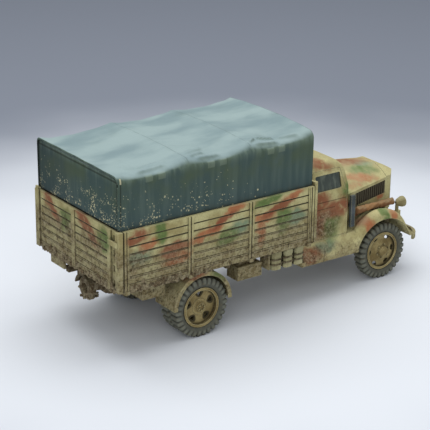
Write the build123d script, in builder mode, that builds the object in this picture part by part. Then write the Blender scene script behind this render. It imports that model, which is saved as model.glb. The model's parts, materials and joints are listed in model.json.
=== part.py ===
"""Scale model of a bonneted military cargo truck with a canvas tilt, 1:56, free-rolling wheels.

Frame: +X forward, +Y to the truck's left, +Z up, ground at Z = 0, origin under the middle
of the overall length. All sizes are millimetres on the model.
"""

import math
import os

from build123d import *

os.makedirs("parts", exist_ok=True)

# Overall layout
wheelbase = 64.3
front_overhang = 13.7
rear_overhang = 26.96
overall_length = rear_overhang + wheelbase + front_overhang
rear_axle_x = rear_overhang - overall_length / 2
front_axle_x = rear_axle_x + wheelbase

# Clearances
seat_gap = 0.03
panel_gap = 0.08
running_gap = 0.06
end_float = 0.15
cut_over = 1.0

# Wheels and tyres
tyre_radius = 8.1
tyre_width = 3.4
bead_radius = 5.45
bead_bevel = 0.9
lug_height = 0.5
lug_count = 30
lug_length = 0.78
shoulder_radius = 7.0
rim_wall = 0.45
rim_lip = 0.25
rim_inset = 0.35
disc_wall = 0.5
twin_gap = 0.7
rear_wheel_face_y = 18.5
front_wheel_face_y = 15.2
hub_radius = 2.0
spindle_radius = 1.15
hub_bore_radius = spindle_radius + running_gap
hub_wall = 0.5
axle_z = tyre_radius

# Chassis
rail_offset_y = 7.0
rail_width = 1.4
rail_bottom_z = 12.4
rail_top_z = 15.2
rail_end_rise = 1.1
rail_rear_x = rear_axle_x - 21.5
rail_front_x = front_axle_x + 11.3
cross_height = 1.8
cross_width = 1.6
rail_inner_y = rail_offset_y - rail_width / 2

# Cab
cab_rear_x = front_axle_x - 27.7
cab_half_width = 15.2
cab_roof_half_width = cab_half_width - 1.2
cab_bottom_z = 16.4
cab_roof_z = 38.8
cab_belt_z = 29.0
cab_wall = 0.9
cab_corner_radius = 1.5
windscreen_base_x = front_axle_x - 12.9
windscreen_base_z = 27.4
windscreen_top_x = windscreen_base_x - 1.5
windscreen_top_z = cab_roof_z - 4.4
windscreen_low_z = 32.2
windscreen_height = 3.8
roof_front_x = windscreen_top_x - 4.9
door_rear_x = cab_rear_x + 2.2
door_front_x = windscreen_base_x - 1.4
door_bottom_z = cab_bottom_z + 0.3
window_bottom_z = cab_roof_z - 8.6
window_top_z = cab_roof_z - 4.2
glass_wall = 0.4

# Load bed
bed_cab_gap = 0.95
bed_rear_x = rear_axle_x - 26.2
headboard_front_x = cab_rear_x - bed_cab_gap
headboard_thickness = 0.7
headboard_rise = 1.0
bed_front_x = headboard_front_x - headboard_thickness
bed_half_width = 20.1
bed_bottom_z = 18.9
bed_top_z = 34.8
bed_height = bed_top_z - bed_bottom_z
bed_mid_z = (bed_bottom_z + bed_top_z) / 2
board_thickness = 0.9
inner_half_width = bed_half_width - board_thickness
floor_thickness = 1.2
plank_count = 8
plank_pitch = bed_height / plank_count
plank_groove = 0.22
groove_depth = 0.25
corner_post_length = 1.25
board_gap = 0.3
side_rear_x = bed_rear_x + corner_post_length + board_gap
side_front_x = bed_front_x - board_gap
strip_proud = 0.28
bearer_height = 2.0
bearer_width = 1.3
sill_height = bed_bottom_z - bearer_height - rail_top_z

# Canvas tilt over the bed
tilt_gap = 0.1
tilt_half_width = inner_half_width - tilt_gap
tilt_setback = 0.4
tilt_rear_x = bed_rear_x + tilt_setback
tilt_front_x = bed_front_x - board_gap
tilt_foot_z = bed_bottom_z + floor_thickness
tilt_eaves_z = 46.9
tilt_shoulder_z = 48.9
tilt_crown_z = 50.0
tilt_shoulder = 2.4
tilt_wall = 0.8

# Hood and nose
cowl_x = windscreen_base_x + 0.4
hood_front_x = front_axle_x + 6.3
nose_x = front_axle_x + 11.9
hood_rear_half_width = cab_half_width - 1.9
hood_front_half_width = 8.2
hood_shoulder_z = 26.9
hood_rear_crown_z = 31.9
hood_front_crown_z = 29.8
hood_bottom_z = 19.3
hood_wall = 0.8
hood_lip = 0.6

# Fenders, running boards and mudguards
fender_outer_y = 16.9
fender_inner_y = 12.9
fender_round = 1.9
valance_inner_y = 9.0
valance_drop = 1.7
fender_radius = 10.5
fender_crown_z = 20.9
fender_centre_x = front_axle_x - 1.8
fender_centre_z = fender_crown_z - fender_radius
fender_bottom_z = 11.45
arch_radius = 10.05
arch_centre_x = front_axle_x - 1.1
arch_centre_z = axle_z + 0.3
board_rear_x = cab_rear_x - 3.0
board_bottom_z = 10.9
board_top_z = 12.2
board_outer_y = 17.2
mudguard_radius = 9.0
mudguard_wall = 0.5
mudguard_lift = 1.1
mudguard_outer_y = 19.0
mudguard_inner_y = 10.2


def keep(piece, label):
    """Label a finished piece and write it to its own file."""
    piece.part.label = label
    export_step(piece.part, f"parts/{label}.step")


def keep_pair(piece, name):
    """Write a left-hand piece and its mirror image on the right."""
    with BuildPart() as right_piece:
        mirror(piece.part, about=Plane.XZ)
    keep(piece, f"{name}_left")
    keep(right_piece, f"{name}_right")


def upright(y):
    """Plane along the truck's side at y, drawn in X and Z, whose normal is -Y."""
    return Plane(origin=(0, y, 0), x_dir=(1, 0, 0), z_dir=(0, -1, 0))


def across(x):
    """Plane across the truck at x, drawn in Y and Z, whose normal is +X."""
    return Plane(origin=(x, 0, 0), x_dir=(0, 1, 0), z_dir=(1, 0, 0))


def wheel_plane(hub_x, y):
    """Plane at y with its origin on a wheel's axis, drawn in X and Z."""
    return Plane(origin=(hub_x, y, axle_z), x_dir=(1, 0, 0), z_dir=(0, -1, 0))


def wheel_ring(hub_x, y, radius, sides):
    """Many-sided outline about an axle at y, whose flats lie at radius."""
    with BuildSketch(wheel_plane(hub_x, y)) as section:
        RegularPolygon(radius, sides, major_radius=False, rotation=180 / sides)
    return section.sketch


def cross_ring(x, centre, radius, sides):
    """Many-sided outline across the truck about centre, given in Y and Z."""
    with BuildSketch(across(x)) as section:
        with Locations(centre):
            RegularPolygon(radius, sides, major_radius=False, rotation=180 / sides)
    return section.sketch


# Tyres: a toothed tread ring between flat-sided walls, one for every place
tyre_half = tyre_width / 2
tread_half = 0.9 * tyre_half
wall_radius = bead_radius + bead_bevel
root_radius = tyre_radius - lug_height
lug_half_angle = lug_length / 2 / tyre_radius
lug_corner_radius = tyre_radius / math.cos(lug_half_angle)
lug_corners = (
    # side of the lug, radius
    (-1, root_radius),
    (-1, lug_corner_radius),
    (1, lug_corner_radius),
    (1, root_radius),
)
tread_points = []
for lug in range(lug_count):
    lug_angle = 2 * math.pi * lug / lug_count
    for side, radius in lug_corners:
        angle = lug_angle + side * lug_half_angle
        tread_points.append((radius * math.cos(angle), radius * math.sin(angle)))

with BuildPart() as tyre:
    with BuildSketch(wheel_plane(0, 0)):
        with BuildLine():
            Polyline(*tread_points, close=True)
        make_face()
    extrude(amount=tread_half, both=True)
    for end in (-1, 1):
        loft([wheel_ring(0, end * tread_half, shoulder_radius, lug_count),
              wheel_ring(0, end * tyre_half, wall_radius, lug_count)], ruled=True)
    extrude(wheel_ring(0, 0, bead_radius, lug_count), amount=tyre_half, both=True, mode=Mode.SUBTRACT)
    for end in (-1, 1):
        loft([wheel_ring(0, end * (tyre_half - bead_bevel), bead_radius, lug_count),
              wheel_ring(0, end * tyre_half, wall_radius, lug_count)], ruled=True, mode=Mode.SUBTRACT)

front_tyre_y = front_wheel_face_y - tyre_half
outer_tyre_y = rear_wheel_face_y - tyre_half
inner_tyre_y = outer_tyre_y - tyre_width - twin_gap
tyre_places = (
    # name, axle, middle of the tread on the left
    ("front_tyre", front_axle_x, front_tyre_y),
    ("rear_tyre_outer", rear_axle_x, outer_tyre_y),
    ("rear_tyre_inner", rear_axle_x, inner_tyre_y),
)
for name, hub_x, middle_y in tyre_places:
    with BuildPart() as placed_tyre:
        add(tyre.part.moved(Location((hub_x, middle_y, 0))))
    keep_pair(placed_tyre, name)



# Wheels: many-sided rims about a flat disc that is pierced, on a hub with a round bore
rim_radius = bead_radius - seat_gap
barrel_radius = rim_radius - rim_wall
lip_radius = barrel_radius - rim_lip
rim_shoulder = 0.9
hub_sides = 16
cap_sides = 12
cap_radius = 1.35
hub_step = 0.35
twin_width = 2 * tyre_width + twin_gap
twin_inner_y = rear_wheel_face_y - twin_width
rear_disc_y = rear_wheel_face_y - 1.5
rear_hub_y = twin_inner_y + 1.2
rear_bore_end_y = rear_disc_y - 0.25
front_inner_y = front_wheel_face_y - tyre_width
front_hub_y = front_inner_y + 0.3
front_web_y = front_wheel_face_y - 1.1
front_bore_end_y = front_wheel_face_y - hub_wall


def rim_steps(inner_y, face_y, disc_y):
    """Rim and the hollows before and behind its disc, as rows like those of the hubs."""
    return (
        (lug_count, inner_y + rim_inset, rim_radius, face_y - rim_inset, rim_radius, Mode.ADD),
        (lug_count, inner_y + rim_inset, lip_radius, inner_y + rim_shoulder, barrel_radius, Mode.SUBTRACT),
        (lug_count, inner_y + rim_shoulder, barrel_radius, disc_y - disc_wall, barrel_radius, Mode.SUBTRACT),
        (lug_count, disc_y, barrel_radius, face_y - rim_shoulder, barrel_radius, Mode.SUBTRACT),
        (lug_count, face_y - rim_shoulder, barrel_radius, face_y - rim_inset, lip_radius, Mode.SUBTRACT),
    )


rear_hub_steps = (
    # sides, from y, radius there, to y, radius there, added or cut
    (hub_sides, rear_hub_y, hub_radius, rear_disc_y, hub_radius, Mode.ADD),
    (hub_sides, rear_disc_y, hub_radius + 0.3, rear_disc_y + hub_step, hub_radius + 0.1, Mode.ADD),
    (cap_sides, rear_disc_y + hub_step, cap_radius, rear_disc_y + 1.0, cap_radius - 0.25, Mode.ADD),
)
with BuildPart() as rear_wheel_left:
    for sides, from_y, from_radius, to_y, to_radius, mode in (
            rim_steps(twin_inner_y, rear_wheel_face_y, rear_disc_y) + rear_hub_steps):
        loft([wheel_ring(rear_axle_x, from_y, from_radius, sides),
              wheel_ring(rear_axle_x, to_y, to_radius, sides)], ruled=True, mode=mode)
    with BuildSketch(wheel_plane(rear_axle_x, rear_bore_end_y)):
        Circle(hub_bore_radius)
    extrude(amount=rear_bore_end_y - rear_hub_y, mode=Mode.SUBTRACT)
    with BuildSketch(wheel_plane(rear_axle_x, rear_disc_y)) as rear_holes:
        with PolarLocations(3.55, 5, start_angle=18):
            RegularPolygon(0.95, 3, rotation=180)
        chamfer(rear_holes.vertices(), 0.3)
    extrude(amount=1.0, both=True, mode=Mode.SUBTRACT)
keep_pair(rear_wheel_left, "rear_wheel")

front_hub_steps = (
    # sides, from y, radius there, to y, radius there, added or cut
    (hub_sides, front_hub_y, hub_radius + 0.4, front_web_y, hub_radius + 0.6, Mode.ADD),
    (hub_sides, front_web_y, 3.3, front_wheel_face_y - hub_step, hub_radius + 0.1, Mode.ADD),
    (cap_sides, front_wheel_face_y - hub_step, hub_radius - 0.4,
     front_wheel_face_y + 0.35, cap_radius, Mode.ADD),
    (cap_sides, front_wheel_face_y + 0.35, cap_radius, front_wheel_face_y + 0.6, cap_radius - 0.45, Mode.ADD),
)
with BuildPart() as front_wheel_left:
    for sides, from_y, from_radius, to_y, to_radius, mode in (
            rim_steps(front_inner_y, front_wheel_face_y, front_web_y) + front_hub_steps):
        loft([wheel_ring(front_axle_x, from_y, from_radius, sides),
              wheel_ring(front_axle_x, to_y, to_radius, sides)], ruled=True, mode=mode)
    with BuildSketch(wheel_plane(front_axle_x, front_bore_end_y)):
        Circle(hub_bore_radius)
    extrude(amount=front_bore_end_y - front_hub_y, mode=Mode.SUBTRACT)
    with BuildSketch(wheel_plane(front_axle_x, front_web_y)) as front_holes:
        with PolarLocations(4.0, 6):
            Rectangle(0.85, 1.6)
        chamfer(front_holes.vertices(), 0.25)
    extrude(amount=1.0, both=True, mode=Mode.SUBTRACT)
keep_pair(front_wheel_left, "front_wheel")

# Rear axle: banjo case, tubes and the round spindles that the twin wheels turn on
case_radius = 3.3
case_rim = 0.6
case_shoulder_y = 1.8
case_cone_y = 3.6
tube_radius = 1.5
pinion_neck = 3.9
pinion_length = 4.6
pinion_radius = 1.3
rear_shoulder_y = rear_hub_y - end_float
rear_spindle_end_y = rear_bore_end_y - end_float
axle_steps = (
    # from y, radius there, to y, radius there
    (0, case_radius, case_rim, case_radius),
    (case_rim, case_radius, case_shoulder_y, 0.8 * case_radius),
    (case_shoulder_y, 0.8 * case_radius, case_cone_y, tube_radius),
    (case_cone_y, tube_radius, rear_shoulder_y, tube_radius),
)
with BuildPart() as rear_axle:
    for sign in (1, -1):
        for from_y, from_radius, to_y, to_radius in axle_steps:
            loft([wheel_ring(rear_axle_x, sign * from_y, from_radius, hub_sides),
                  wheel_ring(rear_axle_x, sign * to_y, to_radius, hub_sides)], ruled=True)
    with BuildSketch(wheel_plane(rear_axle_x, 0)):
        Circle(spindle_radius)
    extrude(amount=rear_spindle_end_y, both=True)
    with BuildSketch(across(rear_axle_x)):
        with Locations((0, axle_z)):
            Rectangle(2 * case_rim, 2.2)
    extrude(amount=pinion_neck)
    extrude(cross_ring(rear_axle_x + pinion_neck, (0, axle_z), pinion_radius, cap_sides),
            amount=pinion_length - pinion_neck)
keep(rear_axle, "rear_axle")

# Front axle: dropped beam, knuckles with their spindles, and the tie rod between them
front_shoulder_y = front_hub_y - end_float
front_spindle_end_y = front_bore_end_y - end_float
knuckle_y = front_shoulder_y - 1.2
knuckle_radius = 1.6
kingpin_radius = 0.65
beam_z = axle_z - 1.2
beam_half_height = 0.8
beam_end_half = 1.1
with BuildPart() as front_axle:
    with BuildSketch(across(front_axle_x)):
        with BuildLine():
            Polyline(
                (0, beam_z - beam_half_height),
                (knuckle_y - 1.8, beam_z - beam_half_height),
                (knuckle_y, axle_z - beam_end_half),
                (knuckle_y, axle_z + beam_end_half),
                (knuckle_y - 1.2, axle_z + beam_end_half),
                (knuckle_y - 2.4, beam_z + beam_half_height),
                (0, beam_z + beam_half_height),
                close=True,
            )
        make_face()
        mirror(about=Plane.YZ)
    extrude(amount=0.7, both=True)
keep(front_axle, "front_axle")

tie_rod_x = front_axle_x - 3.2
tie_rod_z = axle_z - 0.75
tie_rod_radius = 0.4
arm_front_x = front_axle_x - 1.0
arm_rear_x = tie_rod_x - 0.6
arm_height = 0.9
with BuildPart() as knuckle_left:
    with BuildSketch(wheel_plane(front_axle_x, front_shoulder_y)):
        Rectangle(2 * knuckle_radius, 2 * knuckle_radius)
    extrude(amount=front_shoulder_y - knuckle_y)
    with BuildSketch(wheel_plane(front_axle_x, front_shoulder_y)):
        Circle(spindle_radius)
    extrude(amount=front_shoulder_y - front_spindle_end_y)
    with BuildSketch(Plane.XY.offset(axle_z)):
        with Locations((front_axle_x, knuckle_y + kingpin_radius)):
            RegularPolygon(kingpin_radius, 8, major_radius=False, rotation=22.5)
    extrude(amount=2.3, both=True)
    with BuildSketch(Plane.XY.offset(tie_rod_z - arm_height / 2)):
        with Locations(((arm_rear_x + arm_front_x) / 2, knuckle_y + arm_height / 2)):
            Rectangle(arm_front_x - arm_rear_x, arm_height)
    extrude(amount=arm_height)
keep_pair(knuckle_left, "front_knuckle")

with BuildPart() as tie_rod:
    with BuildSketch(upright(0)):
        with Locations((tie_rod_x, tie_rod_z)):
            RegularPolygon(tie_rod_radius, 8, major_radius=False, rotation=22.5)
    extrude(amount=knuckle_y, both=True)
keep(tie_rod, "tie_rod")

# Frame rails, tapered up at both ends, and the members between them
rail_taper = 6.0
with BuildPart() as rail_left:
    with BuildSketch(upright(rail_offset_y)):
        with BuildLine():
            Polyline(
                (rail_rear_x, rail_top_z),
                (rail_rear_x, rail_bottom_z + rail_end_rise),
                (rail_rear_x + rail_taper, rail_bottom_z),
                (rail_front_x - 1.5 * rail_taper, rail_bottom_z),
                (rail_front_x, rail_bottom_z + rail_end_rise),
                (rail_front_x, rail_top_z),
                close=True,
            )
        make_face()
    extrude(amount=rail_width / 2, both=True)
keep_pair(rail_left, "frame_rail")

cross_top_z = rail_top_z - 0.3
cross_places = (
    rail_rear_x + cross_width / 2,
    rear_axle_x - 9.0,
    rear_axle_x + 9.0,
    cab_rear_x - 6.6,
    rail_front_x - cross_width / 2,
)
with BuildPart() as cross_members:
    with BuildSketch(Plane.XY.offset(cross_top_z)):
        for place in cross_places:
            with Locations((place, 0)):
                Rectangle(cross_width, 2 * rail_inner_y)
    extrude(amount=-cross_height)
keep(cross_members, "frame_cross_members")

# Leaf springs on both axles: stacked leaves curved under the rails
spring_width = 1.1
leaf_height = 0.34
rear_leaf_count = 5
front_leaf_count = 4
spring_sets = (
    # name, axle, half length of the longest leaf, leaf count, underside at the axle
    ("rear", rear_axle_x, 9.5, rear_leaf_count, axle_z + tube_radius),
    ("front", front_axle_x, 8.0, front_leaf_count, beam_z + beam_half_height),
)
for name, hub_x, half_length, leaves, seat_z in spring_sets:
    top_z = seat_z + leaves * leaf_height
    with BuildPart() as spring:
        for level in range(leaves):
            reach = half_length * (0.35 + 0.65 * level / (leaves - 1))
            rise = (rail_bottom_z - top_z) * (reach / half_length) ** 2
            low_z = seat_z + level * leaf_height
            high_z = low_z + leaf_height
            with BuildSketch(upright(0)):
                with BuildLine():
                    ThreePointArc((hub_x - reach, low_z + rise), (hub_x, low_z),
                                  (hub_x + reach, low_z + rise))
                    Line((hub_x + reach, low_z + rise), (hub_x + reach, high_z + rise))
                    ThreePointArc((hub_x + reach, high_z + rise), (hub_x, high_z),
                                  (hub_x - reach, high_z + rise))
                    Line((hub_x - reach, high_z + rise), (hub_x - reach, low_z + rise))
                make_face()
            extrude(amount=spring_width / 2, both=True)
    with BuildPart() as spring_pair:
        for sign in (1, -1):
            add(spring.part.moved(Location((0, sign * rail_offset_y, 0))))
    keep(spring_pair, f"{name}_springs")

# Cab mounts on the rails
with BuildPart() as cab_mounts:
    with BuildSketch(Plane.XY.offset(rail_top_z)):
        for mount_x in (cab_rear_x + 2.0, windscreen_base_x - 2.0):
            for sign in (1, -1):
                with Locations((mount_x, sign * rail_offset_y)):
                    Rectangle(1.6, rail_width)
    extrude(amount=cab_bottom_z - rail_top_z)
keep(cab_mounts, "cab_mounts")

# Radiator behind the grille, standing on the rails
shell_rear_x = hood_front_x + panel_gap
radiator_rear_x = shell_rear_x + 0.6
radiator_thickness = 1.6
with BuildPart() as radiator:
    with BuildSketch(Plane.XY.offset(rail_top_z)):
        with Locations((radiator_rear_x + radiator_thickness / 2, 0)):
            Rectangle(radiator_thickness, 2 * rail_offset_y)
    extrude(amount=9.6)
keep(radiator, "radiator")

# Engine and gearbox block on its feet, and the drive shaft to the rear axle
engine_rear_x = front_axle_x - 11.7
engine_front_x = radiator_rear_x - 1.0
engine_bottom_z = 12.0
gearbox_length = 9.0
gearbox_radius = 2.6
gearbox_z = 13.5
foot_height = 1.6
with BuildPart() as engine:
    with BuildSketch(Plane.XY.offset(engine_bottom_z)):
        with Locations(((engine_rear_x + engine_front_x) / 2, 0)):
            Rectangle(engine_front_x - engine_rear_x, 8.0)
    extrude(amount=12.0)
    with BuildSketch(across(engine_rear_x)):
        with Locations((0, gearbox_z)):
            RegularPolygon(gearbox_radius, cap_sides)
    extrude(amount=-gearbox_length, taper=6)
    with BuildSketch(Plane.XY.offset(rail_top_z - 0.8)):
        for foot_x in (engine_rear_x + 1.5, engine_front_x - 2.0):
            with Locations((foot_x, 0)):
                Rectangle(foot_height, 2 * rail_inner_y)
    extrude(amount=-foot_height)
keep(engine, "engine_block")

shaft_radius = 0.7
shaft_start = Vector(rear_axle_x + pinion_length + end_float, 0, axle_z)
shaft_end = Vector(engine_rear_x - gearbox_length - 0.2, 0, gearbox_z - 0.2)
with BuildPart() as drive_shaft:
    with BuildSketch(Plane(origin=shaft_start, z_dir=shaft_end - shaft_start)):
        RegularPolygon(shaft_radius, cap_sides)
    extrude(amount=(shaft_end - shaft_start).length)
keep(drive_shaft, "drive_shaft")

# Load bed: sills on the rails, cross bearers and floor
sill_rear_x = bed_rear_x + 1.4
sill_front_x = bed_front_x - 0.5
with BuildPart() as bed_sills:
    with BuildSketch(Plane.XY.offset(rail_top_z)):
        for sign in (1, -1):
            with Locations(((sill_rear_x + sill_front_x) / 2, sign * rail_offset_y)):
                Rectangle(sill_front_x - sill_rear_x, rail_width)
    extrude(amount=sill_height)
keep(bed_sills, "bed_sills")

long_bearer = bed_half_width - 2.4
short_bearer = bed_half_width - 6.7
bearer_places = (
    # middle along the bed, half length
    (bed_rear_x + 3.6, long_bearer),
    (rear_axle_x - 8.3, long_bearer),
    (rear_axle_x + 8.6, long_bearer),
    (bed_front_x - 14.1, long_bearer),
    (bed_front_x - 0.95, short_bearer),
)
with BuildPart() as bed_bearers:
    with BuildSketch(Plane.XY.offset(bed_bottom_z)):
        for place, half_length in bearer_places:
            with Locations((place, 0)):
                Rectangle(bearer_width, 2 * half_length)
    extrude(amount=-bearer_height)
keep(bed_bearers, "bed_bearers")

tail_inner_x = bed_rear_x + board_thickness
corner_rear_x = bed_rear_x - 0.2
corner_front_x = bed_rear_x + corner_post_length
corner_left_y = bed_half_width - 1.8
corner_right_y = 1.4 - bed_half_width
with BuildPart() as bed_floor:
    with BuildSketch(Plane.XY.offset(bed_bottom_z)):
        with BuildLine():
            Polyline(
                (corner_front_x + seat_gap, -inner_half_width),
                (bed_front_x, -inner_half_width),
                (bed_front_x, inner_half_width),
                (corner_front_x + seat_gap, inner_half_width),
                (corner_front_x + seat_gap, corner_left_y - seat_gap),
                (tail_inner_x, corner_left_y - seat_gap),
                (tail_inner_x, corner_right_y + seat_gap),
                (corner_front_x + seat_gap, corner_right_y + seat_gap),
                close=True,
            )
        make_face()
    extrude(amount=floor_thickness)
keep(bed_floor, "bed_floor")

# Bed sides: planks under upright strips, in pairs at the ends and as posts between
strip_width = 0.55
pair_width = 0.5
pair_step = 0.375
post_step = 0.475
rear_pair_x = side_rear_x + 0.65
front_pair_x = side_front_x - 1.5
bay_length = (front_pair_x - rear_pair_x) / 3
side_strips = (
    # middle along the side, width
    (rear_pair_x - pair_step, pair_width),
    (rear_pair_x + pair_step, pair_width),
    (rear_pair_x + bay_length - post_step, strip_width),
    (rear_pair_x + bay_length + post_step, strip_width),
    (rear_pair_x + 2 * bay_length - post_step, strip_width),
    (rear_pair_x + 2 * bay_length + post_step, strip_width),
    (front_pair_x - 0.27, 0.36),
    (front_pair_x + 0.25, 0.36),
    (side_front_x - 0.45, 0.6),
)
bracket_width = 1.2
bracket_proud = 0.5
bracket_drop = 0.6
bracket_height = bracket_drop + 0.3
bracket_places = (rear_pair_x, rear_pair_x + bay_length, rear_pair_x + 2 * bay_length, front_pair_x)
with BuildPart() as bed_side_left:
    with BuildSketch(upright(bed_half_width)):
        with Locations(((side_rear_x + side_front_x) / 2, bed_mid_z)):
            Rectangle(side_front_x - side_rear_x, bed_height)
    extrude(amount=board_thickness)
    with BuildSketch(upright(bed_half_width)):
        with Locations(((side_rear_x + side_front_x) / 2, bed_mid_z)):
            with GridLocations(0, plank_pitch, 1, plank_count - 1):
                Rectangle(side_front_x - side_rear_x + cut_over, plank_groove)
    extrude(amount=groove_depth, mode=Mode.SUBTRACT)
    with BuildSketch(upright(bed_half_width + strip_proud)):
        for strip_x, width in side_strips:
            with Locations((strip_x, bed_mid_z)):
                Rectangle(width, bed_height)
    extrude(amount=strip_proud)
    with BuildSketch(upright(bed_half_width + bracket_proud)):
        for bracket_x in bracket_places:
            with Locations((bracket_x, bed_bottom_z - bracket_drop + bracket_height / 2)):
                Rectangle(bracket_width, bracket_height)
    extrude(amount=bracket_proud + board_thickness)
keep_pair(bed_side_left, "bed_side")

# Headboard across the whole width, rising above the sides
headboard_height = bed_height + headboard_rise
headboard_mid_z = bed_bottom_z + headboard_height / 2
with BuildPart() as headboard:
    with BuildSketch(across(headboard_front_x)):
        with Locations((0, headboard_mid_z)):
            Rectangle(2 * bed_half_width, headboard_height)
    extrude(amount=-headboard_thickness)
    with BuildSketch(across(headboard_front_x)):
        with Locations((0, bed_mid_z)):
            with GridLocations(0, plank_pitch, 1, plank_count - 1):
                Rectangle(2 * bed_half_width + cut_over, plank_groove)
    extrude(amount=-groove_depth, mode=Mode.SUBTRACT)
    with BuildSketch(across(headboard_front_x + strip_proud)):
        for strip_y in (0.8 - bed_half_width, 0, bed_half_width - 0.8):
            with Locations((strip_y, headboard_mid_z)):
                Rectangle(1.2, headboard_height)
    extrude(amount=-strip_proud)
keep(headboard, "headboard")

# Tailgate between the corner posts, with a blank board hung under its left half
tail_left_y = bed_half_width - 2.6
tail_right_y = 3.6 - bed_half_width
tail_mid_y = (tail_left_y + tail_right_y) / 2
tail_strips = (
    # middle across the tail, width
    (tail_mid_y + 0.6, 1.5),
    (tail_right_y + 0.65, 1.3),
)
hung_board_thickness = 0.6
hung_board_width = 6.7
hung_board_y = 10.15
hung_board_drop = 2.7
with BuildPart() as tailgate:
    with BuildSketch(across(bed_rear_x)):
        with Locations((tail_mid_y, bed_mid_z)):
            Rectangle(tail_left_y - tail_right_y, bed_height)
    extrude(amount=board_thickness)
    with BuildSketch(across(bed_rear_x)):
        with Locations((tail_mid_y, bed_mid_z)):
            with GridLocations(0, plank_pitch, 1, plank_count - 1):
                Rectangle(tail_left_y - tail_right_y + cut_over, plank_groove)
    extrude(amount=groove_depth, mode=Mode.SUBTRACT)
    with BuildSketch(across(bed_rear_x - strip_proud)):
        for strip_y, width in tail_strips:
            with Locations((strip_y, bed_mid_z)):
                Rectangle(width, bed_height)
    extrude(amount=strip_proud)
    with BuildSketch(across(tail_inner_x)):
        with Locations((hung_board_y, bed_bottom_z - hung_board_drop / 2 + 0.15)):
            Rectangle(hung_board_width, hung_board_drop + 0.3)
    extrude(amount=-hung_board_thickness)
keep(tailgate, "tailgate")

# Corner posts, joined to the tailgate by recessed plates, pierced on the right
plate_rear_x = bed_rear_x + 0.3
plate_hole_count = 4
latch_z = bed_top_z - 3.0
latch_height = 1.2
latch_rear_x = bed_rear_x - strip_proud - seat_gap
latch_end_y = tail_right_y + 0.3
latch_start_y = 0.1 - bed_half_width
knob_width = 1.2
knob_height = 0.8
with BuildPart() as corner_posts:
    with BuildSketch(across(corner_rear_x)):
        with Locations(((bed_half_width + corner_left_y) / 2, bed_mid_z)):
            Rectangle(bed_half_width - corner_left_y, bed_height)
        with Locations(((corner_right_y - bed_half_width) / 2, bed_mid_z)):
            Rectangle(bed_half_width + corner_right_y, bed_height)
    extrude(amount=corner_front_x - corner_rear_x)
    with BuildSketch(across(plate_rear_x)):
        with Locations(((tail_left_y + panel_gap + corner_left_y) / 2, bed_mid_z)):
            Rectangle(corner_left_y - tail_left_y - panel_gap, bed_height)
        with Locations(((tail_right_y - panel_gap + corner_right_y) / 2, bed_mid_z)):
            Rectangle(tail_right_y - panel_gap - corner_right_y, bed_height)
            with GridLocations(0, bed_height / plate_hole_count, 1, plate_hole_count):
                Rectangle(1.0, 1.7, mode=Mode.SUBTRACT)
    extrude(amount=tail_inner_x - plate_rear_x)
    with BuildSketch(across(latch_rear_x)):
        with Locations(((latch_start_y + latch_end_y) / 2, latch_z)):
            Rectangle(latch_end_y - latch_start_y, latch_height)
    extrude(amount=-0.45)
    with BuildSketch(across(latch_rear_x)):
        with Locations(((latch_start_y + corner_right_y) / 2, latch_z)):
            Rectangle(corner_right_y - latch_start_y, latch_height)
    extrude(amount=corner_rear_x - latch_rear_x)
    with BuildSketch(Plane.XY.offset(bed_top_z)):
        with Locations(((corner_rear_x + tilt_rear_x - tilt_gap) / 2, bed_half_width - 1.0)):
            Rectangle(tilt_rear_x - tilt_gap - corner_rear_x, knob_width)
    extrude(amount=knob_height)
keep(corner_posts, "corner_posts")

# Canvas tilt: a hollow cover on the floor inside the boards, its rear wall over the tailgate
tilt_low_rear_x = corner_front_x + tilt_gap


def tilt_section(x, inset):
    """House section of the tilt with rounded shoulders, drawn inset from its outside."""
    half = tilt_half_width - inset
    shoulder = half - tilt_shoulder
    eaves = tilt_eaves_z - inset
    shoulder_z = tilt_shoulder_z - inset
    with BuildSketch(across(x)) as section:
        with BuildLine():
            Polyline((-half, eaves), (-half, tilt_foot_z), (half, tilt_foot_z), (half, eaves))
            ThreePointArc((half, eaves), (half - 0.6, eaves + 1.25), (shoulder, shoulder_z))
            ThreePointArc((shoulder, shoulder_z), (0, tilt_crown_z - inset), (-shoulder, shoulder_z))
            ThreePointArc((-shoulder, shoulder_z), (0.6 - half, eaves + 1.25), (-half, eaves))
        make_face()
    return section.sketch


with BuildPart() as tilt:
    extrude(tilt_section(tilt_rear_x, 0), amount=tilt_front_x - tilt_rear_x)
    with BuildSketch(upright(0)):
        with Locations((tilt_low_rear_x, bed_top_z + seat_gap)):
            Rectangle(2 * cut_over + tilt_low_rear_x - tilt_rear_x, bed_height + cut_over,
                      align=(Align.MAX, Align.MAX))
    extrude(amount=bed_half_width, both=True, mode=Mode.SUBTRACT)
    extrude(tilt_section(tilt_low_rear_x + tilt_wall, tilt_wall),
            amount=tilt_front_x - tilt_low_rear_x - 2 * tilt_wall, mode=Mode.SUBTRACT)
keep(tilt, "canvas_tilt")


# Cab: one hollow body form, from which shell, doors and windows are parted
roof_drop = 3.2
roof_edge = 3.4


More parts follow.
